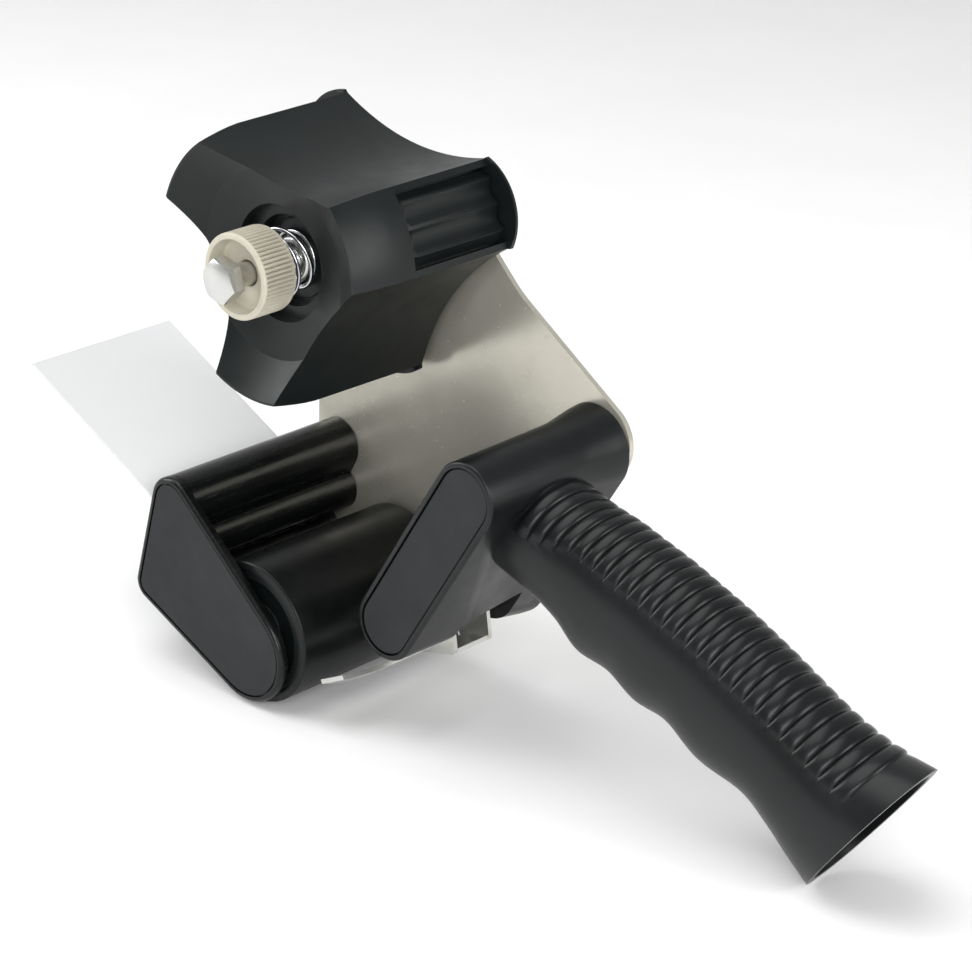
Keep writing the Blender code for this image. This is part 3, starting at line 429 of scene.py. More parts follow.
def wire(name, path, radius, sides=16):
    """Round wire along (x, z, w) points, with domed ends."""
    work = bmesh.new()
    rows = []
    points = [Vector(p) for p in path]
    ahead = points[1:] + points[-1:]
    behind = points[:1] + points[:-1]
    headings = [(after - before).normalized() for after, before in zip(ahead, behind)]
    across = headings[0].orthogonal().normalized()
    for point, heading in zip(points, headings):
        across = (across - heading * across.dot(heading)).normalized()
        up = heading.cross(across)
        angles = [math.tau * i / sides for i in range(sides)]
        spots = [point + (across * math.cos(a) + up * math.sin(a)) * radius for a in angles]
        rows.append([work.verts.new(spot) for spot in spots])
    skin(work, rows)
    ends = ((rows[0], points[0], -headings[0]), (rows[-1], points[-1], headings[-1]))
    for row, point, heading in ends:
        tip = work.verts.new(point + heading * radius * 0.4)
        for i in range(sides):
            work.faces.new((row[i], row[(i + 1) % sides], tip))
    return from_bmesh(name, work)


def combine(target, tool, operation="DIFFERENCE"):
    """Cut a piece with a tool, or join the tool to it; the tool is then removed."""
    change = target.modifiers.new("combine", "BOOLEAN")
    change.operation = operation
    change.object = tool
    change.solver = "EXACT"
    graph = bpy.context.evaluated_depsgraph_get()
    mesh = bpy.data.meshes.new_from_object(target.evaluated_get(graph))
    target.modifiers.clear()
    target.data = mesh
    bpy.data.objects.remove(tool)
    return target


def from_cad(node):
    """Copy of a CAD node's mesh with its faces joined, ready for rounding."""
    mesh = welded(frame["nodes"][node].data.copy(), 1e-7)
    return new_object(node + "_shape", mesh)


def eased(made, width, angle=32, segments=2):
    """Round the sharp edges and shade the rest smooth."""
    work = bmesh.new()
    work.from_mesh(made.data)
    bmesh.ops.remove_doubles(work, verts=work.verts, dist=2e-6)
    bmesh.ops.dissolve_limit(work, angle_limit=math.radians(0.6), verts=work.verts, edges=work.edges)
    work.to_mesh(made.data)
    work.free()
    made.data.shade_smooth()
    change = made.modifiers.new("eased_edges", "BEVEL")
    change.width = width * MM
    change.segments = segments
    change.limit_method = "ANGLE"
    change.angle_limit = math.radians(angle)
    change.harden_normals = True
    change.miter_outer = "MITER_ARC"
    return made


def stands_for(made, node, finish):
    """Show a piece in place of a CAD node, with the node's body and material slot."""
    cad = frame["nodes"][node]
    made.name = node + "_shape"
    made.data.materials.clear()
    made.data.materials.append(finish)
    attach(made, cad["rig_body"])
    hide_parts(node)
    return made


# ---- materials ----------------------------------------------------------
class Finish:
    """Small builder for a procedural material in the piece's own coordinates."""

    def __init__(self, name, roughness, metallic=0.0):
        self.material = bpy.data.materials.new(name)
        self.material.use_nodes = True
        self.tree = self.material.node_tree
        self.shader = self.tree.nodes["Principled BSDF"]
        self.shader.inputs["Roughness"].default_value = roughness
        self.shader.inputs["Metallic"].default_value = metallic
        self.place = self.tree.nodes.new("ShaderNodeTexCoord").outputs["Object"]
        self.bump = None

    def set(self, **values):
        """Set the shader's inputs by name, with _ for a space."""
        for name, value in values.items():
            self.shader.inputs[name.replace("_", " ")].default_value = value
        return self

    def stretched(self, scale):
        """Place scaled differently along each axis."""
        node = self.tree.nodes.new("ShaderNodeMapping")
        node.inputs["Scale"].default_value = scale
        self.tree.links.new(self.place, node.inputs["Vector"])
        return node.outputs["Vector"]

    def noise(self, size, detail=3.0, rough=0.55, place=None):
        """Noise whose features are about size millimetres across."""
        node = self.tree.nodes.new("ShaderNodeTexNoise")
        node.inputs["Scale"].default_value = 1 / (size * MM)
        node.inputs["Detail"].default_value = detail
        node.inputs["Roughness"].default_value = rough
        self.tree.links.new(place or self.place, node.inputs["Vector"])
        return node.outputs["Fac"]

    def ramp(self, source, *stops):
        """Colours or values at places along a source."""
        node = self.tree.nodes.new("ShaderNodeValToRGB")
        ramp = node.color_ramp
        while len(ramp.elements) < len(stops):
            ramp.elements.new(0.5)
        for element, (place, colour) in zip(ramp.elements, stops):
            element.position = place
            if isinstance(colour, (int, float)):
                colour = (colour, colour, colour)
            element.color = (*colour, 1.0)
        self.tree.links.new(source, node.inputs["Fac"])
        return node.outputs["Color"]

    def mixed(self, share, first, second):
        """Colour between two sources, by a share."""
        node = self.tree.nodes.new("ShaderNodeMix")
        node.data_type = "RGBA"
        self.tree.links.new(share, node.inputs["Factor"])
        self.tree.links.new(first, node.inputs["A"])
        self.tree.links.new(second, node.inputs["B"])
        return node.outputs["Result"]

    def tinted(self, size, detail, first, second, rough=0.55, end=0.7):
        """Base colour that drifts between two colours, in patches of a size in millimetres."""
        patches = self.noise(size, detail, rough)
        return self.drive("Base Color", self.ramp(patches, (0.3, first), (end, second)))

    def drive(self, name, source):
        """Link a source to a shader input."""
        self.tree.links.new(source, self.shader.inputs[name])
        return self

    def raised(self, source, height, strength=1.0):
        """Bump of a height in millimetres, on top of any earlier one."""
        node = self.tree.nodes.new("ShaderNodeBump")
        node.inputs["Distance"].default_value = height * MM
        node.inputs["Strength"].default_value = strength
        self.tree.links.new(source, node.inputs["Height"])
        if self.bump:
            self.tree.links.new(self.bump, node.inputs["Normal"])
        self.bump = node.outputs["Normal"]
        self.tree.links.new(self.bump, self.shader.inputs["Normal"])
        return self


def moulded(name, colour, roughness, grain, height, spread=0.18, gloss=0.25):
    """Moulded plastic: spark-eroded grain, slow changes of sheen, and faint scuffs."""
    made = Finish(name, roughness)
    dark = tuple(c * (1 - spread) for c in colour)
    light = tuple(c * (1 + spread) for c in colour)
    made.tinted(14, 4, dark, light)
    sheen = made.ramp(made.noise(9, 5, 0.6), (0.3, roughness * 0.86), (0.72, roughness * 1.16))
    made.drive("Roughness", sheen)
    made.raised(made.noise(grain, 2), height)
    made.raised(made.noise(6, 2), height * 2.2, 0.35)
    made.set(Specular_IOR_Level=gloss)
    return made.material


def gloss_black():
    """Polished moulding: slight ripple, hairline scratches in the gloss."""
    made = Finish("gloss_black_moulding", 0.2)
    made.tinted(16, 4, (0.003, 0.0036, 0.0036), (0.005, 0.0058, 0.0058))
    scratch = made.noise(0.5, 2, 0.5, made.stretched((1.0, 0.06, 0.5)))
    made.drive("Roughness", made.ramp(scratch, (0.35, 0.17), (0.62, 0.27), (0.7, 0.4)))
    made.raised(made.noise(2.4, 2), 0.012, 0.5)
    made.raised(made.noise(0.18, 2), 0.0035, 0.5)
    made.set(Specular_IOR_Level=0.3)
    return made.material


def rubber():
    """Smooth dark roller: fine turned lines round it and dull patches."""
    made = Finish("roller_rubber", 0.34)
    made.tinted(8, 5, (0.003, 0.0038, 0.004), (0.006, 0.0068, 0.007), end=0.75)
    made.drive("Roughness", made.ramp(made.noise(7, 5, 0.65), (0.3, 0.27), (0.7, 0.42)))
    made.raised(made.noise(0.4, 2, 0.5, made.stretched((0.03, 1.0, 0.03))), 0.006, 0.6)
    made.raised(made.noise(0.15, 2), 0.003, 0.5)
    made.set(Specular_IOR_Level=0.25)
    return made.material


def metal(name, colour, low, high, brushed=(1.0, 1.0, 1.0), line=0.3, height=0.002, warm=None, bare=1.0):
    """Plated or polished metal: brushing lines, slow changes of tint, small stains.

    Roughness runs from low to high, warm is the second tint, and bare is the
    share of clean metal: the rest is a film over it.
    """
    made = Finish(name, (low + high) / 2, bare)
    tint = warm or tuple(c * 0.93 for c in colour)
    made.tinted(10, 5, colour, tint, 0.6, 0.72)
    lines = made.noise(line, 3, 0.6, made.stretched(brushed))
    clouds = made.noise(12, 5, 0.65)
    rough_lines = made.ramp(lines, (0.3, low), (0.7, (low + high) / 2))
    rough_clouds = made.ramp(lines, (0.3, (low + high) / 2), (0.7, high))
    made.drive("Roughness", made.mixed(clouds, rough_lines, rough_clouds))
    made.raised(lines, height, 0.6)
    return made.material


def beige_plastic():
    """Warm pale plastic that lets a little light in, with a fine matt grain."""
    made = Finish("beige_moulding", 0.46)
    pale, deep = (0.55, 0.52, 0.43), (0.47, 0.44, 0.355)
    made.tinted(5, 5, deep, pale, 0.6)
    made.drive("Roughness", made.ramp(made.noise(2.5, 4), (0.3, 0.4), (0.7, 0.55)))
    made.set(Subsurface_Weight=0.12, Subsurface_Radius=(0.0016, 0.0011, 0.0007))
    made.raised(made.noise(0.2, 2), 0.012, 0.6)
    return made.material


def nylon():
    """Natural nylon bushes."""
    made = Finish("natural_nylon", 0.5)
    made.tinted(3, 4, (0.72, 0.7, 0.64), (0.82, 0.81, 0.77))
    made.set(Subsurface_Weight=0.2, Subsurface_Radius=(0.002, 0.0016, 0.0012))
    made.raised(made.noise(0.25, 2), 0.01, 0.5)
    return made.material


def clear_sheet():
    """Clear flexible sheet with a slight ripple and rubbed streaks."""
    made = Finish("clear_sheet", 0.2)
    made.set(Base_Color=(0.87, 0.875, 0.88, 1.0), Transmission_Weight=0.3, IOR=1.42)
    streaks = made.noise(3.0, 4, 0.6, made.stretched((0.12, 1.0, 0.12)))
    made.drive("Roughness", made.ramp(streaks, (0.35, 0.3), (0.75, 0.42)))
    made.raised(made.noise(9.0, 2), 0.03, 0.3)
    return made.material


def floor_paper():
    """Pale studio paper."""
    made = Finish("studio_paper", 0.9)
    made.tinted(60, 3, (0.93, 0.93, 0.93), (0.95, 0.95, 0.95))
    made.raised(made.noise(0.8, 2), 0.01, 0.3)
    made.set(Specular_IOR_Level=0.1)
    return made.material


GLOSS_BLACK = gloss_black()
SATIN_BLACK = moulded("satin_black_moulding", (0.0062, 0.0082, 0.0084), 0.37, 0.22, 0.006, gloss=0.27)
HANDLE_BLACK = moulded("handle_moulding", (0.0055, 0.0065, 0.007), 0.32, 0.2, 0.006, gloss=0.3)
GREY_INSERT = moulded("matt_grey_insert", (0.022, 0.0235, 0.025), 0.62, 0.16, 0.016, 0.1, 0.2)
RUBBER = rubber()
PLATE = metal("polished_plate", (0.60, 0.58, 0.50), 0.2, 0.3, (0.2, 1.0, 0.2), height=0.0001,
              warm=(0.54, 0.52, 0.44), bare=0.6)
ZINC = metal("zinc_plating", (0.63, 0.64, 0.64), 0.22, 0.38, warm=(0.58, 0.57, 0.52))
BLADE_STEEL = metal("blade_steel", (0.66, 0.67, 0.68), 0.18, 0.32, (1.0, 1.0, 0.05), 0.2)
CHROME = metal("drawn_wire", (0.62, 0.63, 0.65), 0.12, 0.24)
BEIGE = beige_plastic()
NYLON = nylon()
CLEAR = clear_sheet()


# ---- hub ----------------------------------------------------------------
def lobe_radius(w):
    """Radius of the lobes, which are tapered and have a lead-in at the open end."""
    if w > LEAD_IN_START:
        share = (w - LEAD_IN_START) / (HUB_NEAR - LEAD_IN_START)
        return LOBE_MIDDLE_RADIUS + (LOBE_TIP_RADIUS - LOBE_MIDDLE_RADIUS) * share ** 1.4
    share = (w - HUB_FAR) / (LEAD_IN_START - HUB_FAR)
    return LOBE_ROOT_RADIUS + (LOBE_MIDDLE_RADIUS - LOBE_ROOT_RADIUS) * share


def hub_outline(tip, valley):
    """Three lobes with hollow sides: valley is the distance from the axis to a side."""
    reach = tip * math.sin(math.pi / HUB_LOBES - LOBE_HALF_ANGLE)
    edge = tip * math.cos(math.pi / HUB_LOBES - LOBE_HALF_ANGLE)
    points = []
    for lobe in range(HUB_LOBES):
        middle = LOBE_ANGLE + math.tau * lobe / HUB_LOBES
        points += arc((0, 0), tip, middle - LOBE_HALF_ANGLE, middle + LOBE_HALF_ANGLE, math.radians(3))
        shares = [1 - i / 15 for i in range(1, 30)]
        side = [(valley + (edge - valley) * share * share, -reach * share) for share in shares]
        points += turned_by(side, middle + math.pi / HUB_LOBES)
    return points


def core_stop(lobe):
    """Outline of the stop tab behind one lobe, which keeps the core on the hub."""
    half_chord = CORE_RADIUS * math.sin(LOBE_HALF_ANGLE)
    corner = CORE_RADIUS * math.cos(LOBE_HALF_ANGLE)
    rise = CORE_STOP_RADIUS - corner
    radius = (half_chord * half_chord + rise * rise) / 2 / rise
    spread = math.asin(half_chord / radius)
    tab = arc((CORE_STOP_RADIUS - radius, 0), radius, -spread, spread, math.radians(4))
    tab += [(corner - 6, half_chord - 1.5), (corner - 6, 1.5 - half_chord)]
    return turned_by(tab, LOBE_ANGLE + math.tau * lobe / HUB_LOBES)


def make_hub():
    """Core hub with its hollow back, dished front and stepped recess."""
    rings = []
    for w in (HUB_FAR, -12.0, 2.0, LEAD_IN_START, 15.5, 19.0, 22.5, HUB_NEAR):
        share = (w - HUB_FAR) / (HUB_NEAR - HUB_FAR)
        valley = VALLEY_FAR + (VALLEY_NEAR - VALLEY_FAR) * share
        rings.append([(x, z, w) for x, z in hub_outline(lobe_radius(w), valley)])
    shell = loft("hub_body_shape", rings)
    for lobe in range(HUB_LOBES):
        combine(shell, prism("stop", [core_stop(lobe)], HUB_FAR, HUB_FAR + CORE_STOP_THICKNESS), "UNION")
    dish = [(0, 40), (40, 40), (40, 29.4), (DISH_RIM, HUB_NEAR), DISH_EDGE, (RECESS_RADIUS, RECESS_RIM),
            (RECESS_RADIUS, RECESS_STEP[1]), RECESS_STEP, (RECESS_STEP[0], RECESS_FLOOR),
            (0, RECESS_FLOOR)]
    combine(shell, turned("dish", dish))
    hollow = [hub_outline(HUB_HOLLOW_RADIUS, VALLEY_NEAR - HUB_WALL), circle(HUB_AXIS, HUB_TUBE_RADIUS)]
    combine(shell, prism("hollow", hollow, HUB_FAR - 5, HUB_CEILING))
    combine(shell, prism("bore", [circle(HUB_AXIS, HUB_BORE)], -40, 20))
    inner = (GRIP_RADIUS - GRIP_DEPTH) * math.cos(GRIP_HALF_ANGLE) - GAP
    side = GRIP_RADIUS * math.sin(GRIP_HALF_ANGLE) + GAP
    for lobe in range(HUB_LOBES):
        box = [(inner, -side), (GRIP_RADIUS + 5, -side), (GRIP_RADIUS + 5, side), (inner, side)]
        box = turned_by(box, LOBE_ANGLE + math.tau * lobe / HUB_LOBES)
        combine(shell, prism("pocket", [box], GRIP_FAR - GAP, GRIP_NEAR + GAP))
    stands_for(eased(shell, 0.28, 14, 3), "hub_body", SATIN_BLACK)


def make_grips():
    """Fluted pads that hold the core, one in each lobe, with bevelled near ends."""
    flat = (GRIP_RADIUS - GRIP_DEPTH) * math.cos(GRIP_HALF_ANGLE)
    count = 61
    for lobe in range(HUB_LOBES):
        rings = []
        for w, drop in ((GRIP_FAR, 0.0), (GRIP_NEAR - 1.6, 0.0), (GRIP_NEAR, 1.3)):
            outer = []
            for index in range(count):
                angle = GRIP_HALF_ANGLE * (2 * index / (count - 1) - 1)
                phase = (angle / GRIP_RIDGE_PITCH) % 1.0
                radius = GRIP_RADIUS - drop - GRIP_FLUTE_DEPTH * (1 - (2 * phase - 1) ** 2)
                outer.append((radius * math.cos(angle), radius * math.sin(angle)))
            outline = outer + [(flat, outer[-1][1]), (flat, outer[0][1])]
            outline = turned_by(outline, LOBE_ANGLE + math.tau * lobe / HUB_LOBES)
            rings.append([(x, z, w) for x, z in outline])
        stands_for(eased(loft("grip", rings), 0.12, 32), f"core_grip_pad_{lobe + 1}", SATIN_BLACK)


# ---- spindle, spring and knob -------------------------------------------
def hexagon(across_flats):
    """Corners of a hexagon about the hub's axis."""
    return turned_by(circle(HUB_AXIS, across_flats / math.sqrt(3), 6), HEX_TURN)


def chamfered_hexagon(name, w0, w1, both=False):
    """Hexagon whose corners are turned off at its outer end, or at both."""
    body = prism(name, [hexagon(HEX_ACROSS_FLATS)], w0, w1)
    flat = HEX_ACROSS_FLATS / 2 * 0.96
    reach = HEX_ACROSS_FLATS
    fall = (reach - flat) * math.tan(math.radians(30))
    start = flat - 1 / math.tan(math.radians(30))
    combine(body, turned("chamfer", [(start, w1 + 1), (reach, w1 + 1), (reach, w1 - fall)]))
    if both:
        combine(body, turned("chamfer", [(start, w0 - 1), (reach, w0 + fall), (reach, w0 - 1)]))
    return body


def threaded(radius, top, bottom, depth=0.36):
    """Threaded rod from top to bottom, with a chamfered end."""
    sides = 48
    levels = round((top - bottom) / THREAD_PITCH * 8)
    rings = []
    for level in range(levels + 1):
        w = top + (bottom - top) * level / levels
        ring = []
        for side in range(sides):
            angle = math.tau * side / sides
            phase = (w / THREAD_PITCH + side / sides) % 1.0
            cut = max(depth * abs(2 * phase - 1), (bottom + 0.8 - w) * 0.9)
            ring.append(((radius - cut) * math.cos(angle), (radius - cut) * math.sin(angle), w))
        rings.append(ring)
    return loft("thread", rings)


def make_spindle():
    """Hexagon bolt with a threaded end, and its nut."""
    under_head = BOLT_HEAD_FACE - BOLT_HEAD_HEIGHT
    bolt = chamfered_hexagon("bolt_head", under_head, BOLT_HEAD_FACE)
    profile = [(0, under_head + 1), (BOLT_RADIUS, under_head + 1), (BOLT_RADIUS, THREAD_START - 1),
               (0, THREAD_START - 1)]
    combine(bolt, turned("shank", profile, steps=48), "UNION")
    combine(bolt, threaded(BOLT_RADIUS, THREAD_START, BOLT_END), "UNION")
    stands_for(eased(bolt, 0.15, 40), "spindle_bolt", ZINC)
    far, near = cad_range("spindle_nut")
    nut = chamfered_hexagon("nut", far, near, both=True)
    combine(nut, prism("nut_bore", [circle(HUB_AXIS, BOLT_CLEARANCE)], far - 1, near + 1))
    stands_for(eased(nut, 0.15, 40), "spindle_nut", ZINC)


def knurl(radius, w, angle):
    """Radius of the knob's rim, with straight ridges along its sides."""
    if radius < KNOB_RADIUS - 0.05:
        return radius
    fade_in = smooth(KNOB_BACK + 0.2, KNOB_BACK + 0.9, w)
    fade_out = 1 - smooth(KNOB_FRONT - 1.3, KNOB_FRONT - 0.7, w)
    ridge = abs(math.sin(angle * KNURLS / 2)) ** 0.8
    return radius - KNURL_DEPTH * fade_in * fade_out * (1 - ridge)


def make_knob():
    """Tension knob: a knurled cup round the bolt's head and a seat for the spring behind."""
    levels = [KNOB_FRONT - 0.6 - 0.4 * i for i in range(24)]
    side = [(KNOB_RADIUS, w) for w in levels if w > KNOB_BACK + 0.5]
    rounding = ((0.6, 0), (0.3, 0.08), (0.08, 0.3))
    front = [(KNOB_RADIUS - inset, KNOB_FRONT - drop) for inset, drop in rounding]
    back = [(KNOB_RADIUS - 0.1, KNOB_BACK + 0.25), (KNOB_RADIUS - 0.5, KNOB_BACK),
            (KNOB_SEAT_RADIUS, KNOB_BACK), (KNOB_SEAT_RADIUS, KNOB_SEAT_FLOOR),
            (BOLT_CLEARANCE, KNOB_SEAT_FLOOR), (BOLT_CLEARANCE, KNOB_CUP_FLOOR - 0.2),
            (BOLT_CLEARANCE + 0.2, KNOB_CUP_FLOOR)]
    fillet = 0.8
    corner = (KNOB_CUP_RADIUS - fillet, KNOB_CUP_FLOOR + fillet)
    cup = arc(corner, fillet, -math.pi / 2, 0, math.radians(22))
    cup += [(KNOB_CUP_RADIUS + 0.3, KNOB_FRONT - 0.25), (KNOB_CUP_RADIUS + 0.5, KNOB_FRONT)]
    knob = turned("knob", front + side + back + cup, steps=KNURLS * 10, reach=knurl)
    knob.data.shade_smooth()
    knob.data.set_sharp_from_angle(angle=math.radians(50))
    stands_for(knob, "tension_knob", BEIGE)


def make_spring():
    """Open coil between the friction washer and the knob."""
    turns = SPRING_RISE[-1][0]
    count = round(turns * 72)
    path = []
    for index in range(count + 1):
        turn = turns * index / count
        angle = SPRING_START + math.tau * turn
        radius = SPRING_FOOT_RADIUS + (SPRING_RADIUS - SPRING_FOOT_RADIUS) * smooth(0.9, 1.4, turn)
        path.append((radius * math.cos(angle), radius * math.sin(angle), through(SPRING_RISE, turn)))
    spring = wire("spring", path, SPRING_WIRE)
    spring.data.shade_smooth()
    spring.name = "tension_spring_shape"
    spring.data.materials.append(CHROME)
    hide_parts("tension_spring")
    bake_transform(spring)


# ---- plate, front body and cover ----------------------------------------
def make_side_plate():
    """Steel plate that everything is fastened to."""
    outline = rounded([(-17, 39.6, 17), (-17, -14, 20), (-35.8, -38, 20), (-35.8, -69, 12),
                       (-41.8, -100.8, 5.5), (-9, -111.5, 12), (9, -111.5, 12), (30, -93, 10),
                       (40.5, -95.5, 9), (77.5, -37.4, 10.5), (35, -10.2, 30)])
    holes = [circle(HUB_AXIS, BOLT_CLEARANCE, 32), circle(ROLLER_AXIS, AXLE_RADIUS + GAP, 32)]
    holes += [circle(point, SCREW_CLEARANCE, 24) for point in BODY_SCREWS + HOUSING_SCREWS]
    plate = prism("plate", [outline] + holes, PLATE_OUTER, PLATE_INNER)
    stands_for(eased(plate, 0.2, 40), "side_plate", PLATE)


def cover_outline(inset):
    """Rounded triangle of the end cover."""
    return belt([(*TUBE_AXIS, TUBE_RADIUS + 0.1 - inset), (*BLADE_CORNER, BLADE_CORNER_RADIUS - inset),
                 (*COVER_ROLLER_CORNER, COVER_ROLLER_RADIUS - inset)])


def make_front_body():
    """Moulded body between the plate and the end cover."""
    left = belt([(*TUBE_AXIS, TUBE_RADIUS), (*BLADE_CORNER, BODY_CORNER_RADIUS)])
    block = prism("front", [left], SEAT, BODY_NEAR)
    foot = rounded([(-36, -84, 1), (-36, -99.2, 2), (-19.5, -105.6, 1), (-20.5, -102.4, 1), (-26, -95, 5)])
    for loop in (circle(SECOND_TUBE_AXIS, SECOND_TUBE_RADIUS), foot):
        combine(block, prism("join", [loop], SEAT, BODY_NEAR), "UNION")
    mouth = turned_by([(0, -0.75), (9, -3.6), (9, 3.6), (0, 0.75)], FLAP_ANGLE)
    mouth = [(x + FLAP_BEAD[0], z + FLAP_BEAD[1]) for x, z in mouth]
    for loop in (circle(FLAP_BEAD, BEAD_RADIUS + GAP, 32), mouth):
        combine(block, prism("slot", [loop], FLAP_FAR - GAP, BODY_NEAR + 5))
    stands_for(eased(block, 0.3, 30), "front_body", GLOSS_BLACK)


def make_cover():
    """End cover with a rounded rim, and the plain plate set into it."""
    steps = 6
    radius = 1.1
    rim = [(0.0, COVER_BACK)]
    for step in range(steps + 1):
        turn = math.pi / 2 * step / steps
        rim.append((radius * (1 - math.cos(turn)), COVER_FACE - radius * (1 - math.sin(turn))))
    cover = loft("cover", [[(x, z, w) for x, z in cover_outline(inset)] for inset, w in rim])
    combine(cover, prism("recess", [cover_outline(1.5)], COVER_FACE - 0.9, COVER_FACE + 5))
    combine(cover, prism("axle_hole", [circle(ROLLER_AXIS, AXLE_RADIUS + GAP)], 0, 50))
    stands_for(eased(cover, 0.12, 50), "end_cover", GLOSS_BLACK)
    low, high = cad_range("cover_plate")
    plate = prism("insert", [cover_outline(1.9)], low, high)
    stands_for(eased(plate, 0.15, 40), "cover_plate", GREY_INSERT)


def make_flap():
    """Clear sheet with a bead in the body's channel and a raised lip along its tip."""
    thick = FLAP_THICKNESS / 2
    lip = 0.35
    section = [(0, -thick), (FLAP_LENGTH - 0.3, -thick), (FLAP_LENGTH, 0.3 - thick),
               (FLAP_LENGTH, thick + lip - 0.2), (FLAP_LENGTH - 0.2, thick + lip),
               (FLAP_LENGTH - 1.4, thick + lip), (FLAP_LENGTH - 1.8, thick), (0, thick)]
    outline = [(x + FLAP_BEAD[0], z + FLAP_BEAD[1]) for x, z in turned_by(section, FLAP_ANGLE)]
    sheet = prism("sheet", [outline], FLAP_FAR, FLAP_NEAR)
    combine(sheet, prism("bead", [circle(FLAP_BEAD, BEAD_RADIUS)], FLAP_FAR, FLAP_NEAR), "UNION")
    stands_for(eased(sheet, 0.08, 40), "wiper_flap", CLEAR)


# ---- roller -------------------------------------------------------------
def make_roller():
    """Sleeve with rounded ends, and the hollow core in it."""
    ease = 0.6
    inner = ROLLER_RADIUS - SLEEVE_THICKNESS
    near = arc((ROLLER_RADIUS - ease, ROLLER_NEAR - ease), ease, math.pi / 2, 0, math.radians(15))
    far = arc((ROLLER_RADIUS - ease, ROLLER_FAR + ease), ease, 0, -math.pi / 2, math.radians(15))
    sleeve = turned("sleeve", near + far + [(inner, ROLLER_FAR), (inner, ROLLER_NEAR)], ROLLER_AXIS, 160)
    sleeve.data.shade_smooth()
    sleeve.data.set_sharp_from_angle(angle=math.radians(30))
    stands_for(sleeve, "roller_sleeve", RUBBER)
    rim = inner - GAP
    wall = rim - CORE_WALL
    back = ROLLER_WEB - 2.5
    near_end = ROLLER_NEAR - 0.5
    far_end = ROLLER_FAR + 0.5
    core = [(rim, near_end), (rim, far_end), (wall, far_end), (wall, back), (CORE_TUBE_RADIUS, back),
            (CORE_TUBE_RADIUS, far_end), (CORE_BORE, far_end), (CORE_BORE, near_end),
            (CORE_TUBE_RADIUS, near_end), (CORE_TUBE_RADIUS, ROLLER_WEB), (wall, ROLLER_WEB),
            (wall, near_end)]
    stands_for(eased(turned("core", core, ROLLER_AXIS), 0.3, 40), "roller_core", SATIN_BLACK)


# ---- tape tongue --------------------------------------------------------
def tongue_ring(w):
    """Section of the tongue's strip at w: it curls up towards its open end."""
    share = max(0.0, (w - TONGUE_CURL_START) / (TONGUE_NEAR - TONGUE_CURL_START))
    curl = TONGUE_CURL * share * share
    tip = (TONGUE_TIP[0], TONGUE_TIP[1] + curl)
    elbow = (TONGUE_ELBOW[0], TONGUE_ELBOW[1] + curl * 0.5)
    return [(x, z, w) for x, z in strip([tip, elbow], TONGUE_SHEET)]


def make_tongue():
    """Sprung sheet-steel tongue: toothed strip and a bent foot whose two cheeks hold the pivot pin."""
    steps = 24
    levels = [TONGUE_CURL_START + (TONGUE_NEAR - TONGUE_CURL_START) * i / steps for i in range(steps + 1)]
    piece = loft("tongue", [tongue_ring(w) for w in [TONGUE_FAR] + levels])
    foot_start = tuple(Vector(TONGUE_ELBOW).lerp(Vector(TONGUE_TIP), 0.15))
    foot = strip([foot_start, TONGUE_ELBOW, TONGUE_HEEL], TONGUE_SHEET)
    combine(piece, prism("foot", [foot], CHEEK_FAR, CHEEK_NEAR), "UNION")
    cheek = belt([(*TONGUE_PIVOT, 3.4), (TONGUE_ELBOW[0] + 1.2, TONGUE_ELBOW[1] + 0.8, 1.0),
                  (TONGUE_HEEL[0] - 0.6, TONGUE_HEEL[1] + 0.5, 1.0)])
    for w0 in (CHEEK_NEAR - TONGUE_SHEET, CHEEK_FAR):
        combine(piece, prism("cheek", [cheek], w0, w0 + TONGUE_SHEET), "UNION")
    combine(piece, prism("hole", [circle(TONGUE_PIVOT, PIN_RADIUS + GAP, 32)], -40, 40))
    pitch = (TONGUE_NEAR - TONGUE_FAR) / TONGUE_TEETH
    tip = Vector(TONGUE_TIP)
    heading = (Vector(TONGUE_ELBOW) - tip).normalized()
    across = Vector((-heading.y, heading.x)) * 8
    for index in range(1, TONGUE_TEETH):
        middle = TONGUE_FAR + pitch * index
        rings = []
        for level in (-across, across):
            mouth = tip + level - heading * 3
            notch = tip + level + heading * TONGUE_NOTCH
            rings.append([(*mouth, middle - 2.2), (*mouth, middle + 2.2), (*notch, middle)])
        combine(piece, loft("tooth_gap", rings))
    stands_for(eased(piece, 0.12, 35), "tape_tongue", ZINC)


# ---- handle and its housing ---------------------------------------------
def handle_point(along, up):
    """Point in the plate's plane, from the handle's own axes."""
    return Vector(HANDLE_ROOT) + HANDLE_DIRECTION * along + HANDLE_UP * up


def housing_circles(radius):
    """The two end circles of the housing's outline."""
    axis = Vector((math.cos(HOUSING_ANGLE), math.sin(HOUSING_ANGLE))) * HOUSING_HALF
    top = Vector(HOUSING_CENTRE) + axis
    low = Vector(HOUSING_CENTRE) - axis
    return [(top.x, top.y, radius), (low.x, low.y, radius)]


def housing_ring(grow, w):
    """Section of the housing at w, larger by grow."""
    return [(x, z, w) for x, z in belt(housing_circles(HOUSING_RADIUS + grow))]


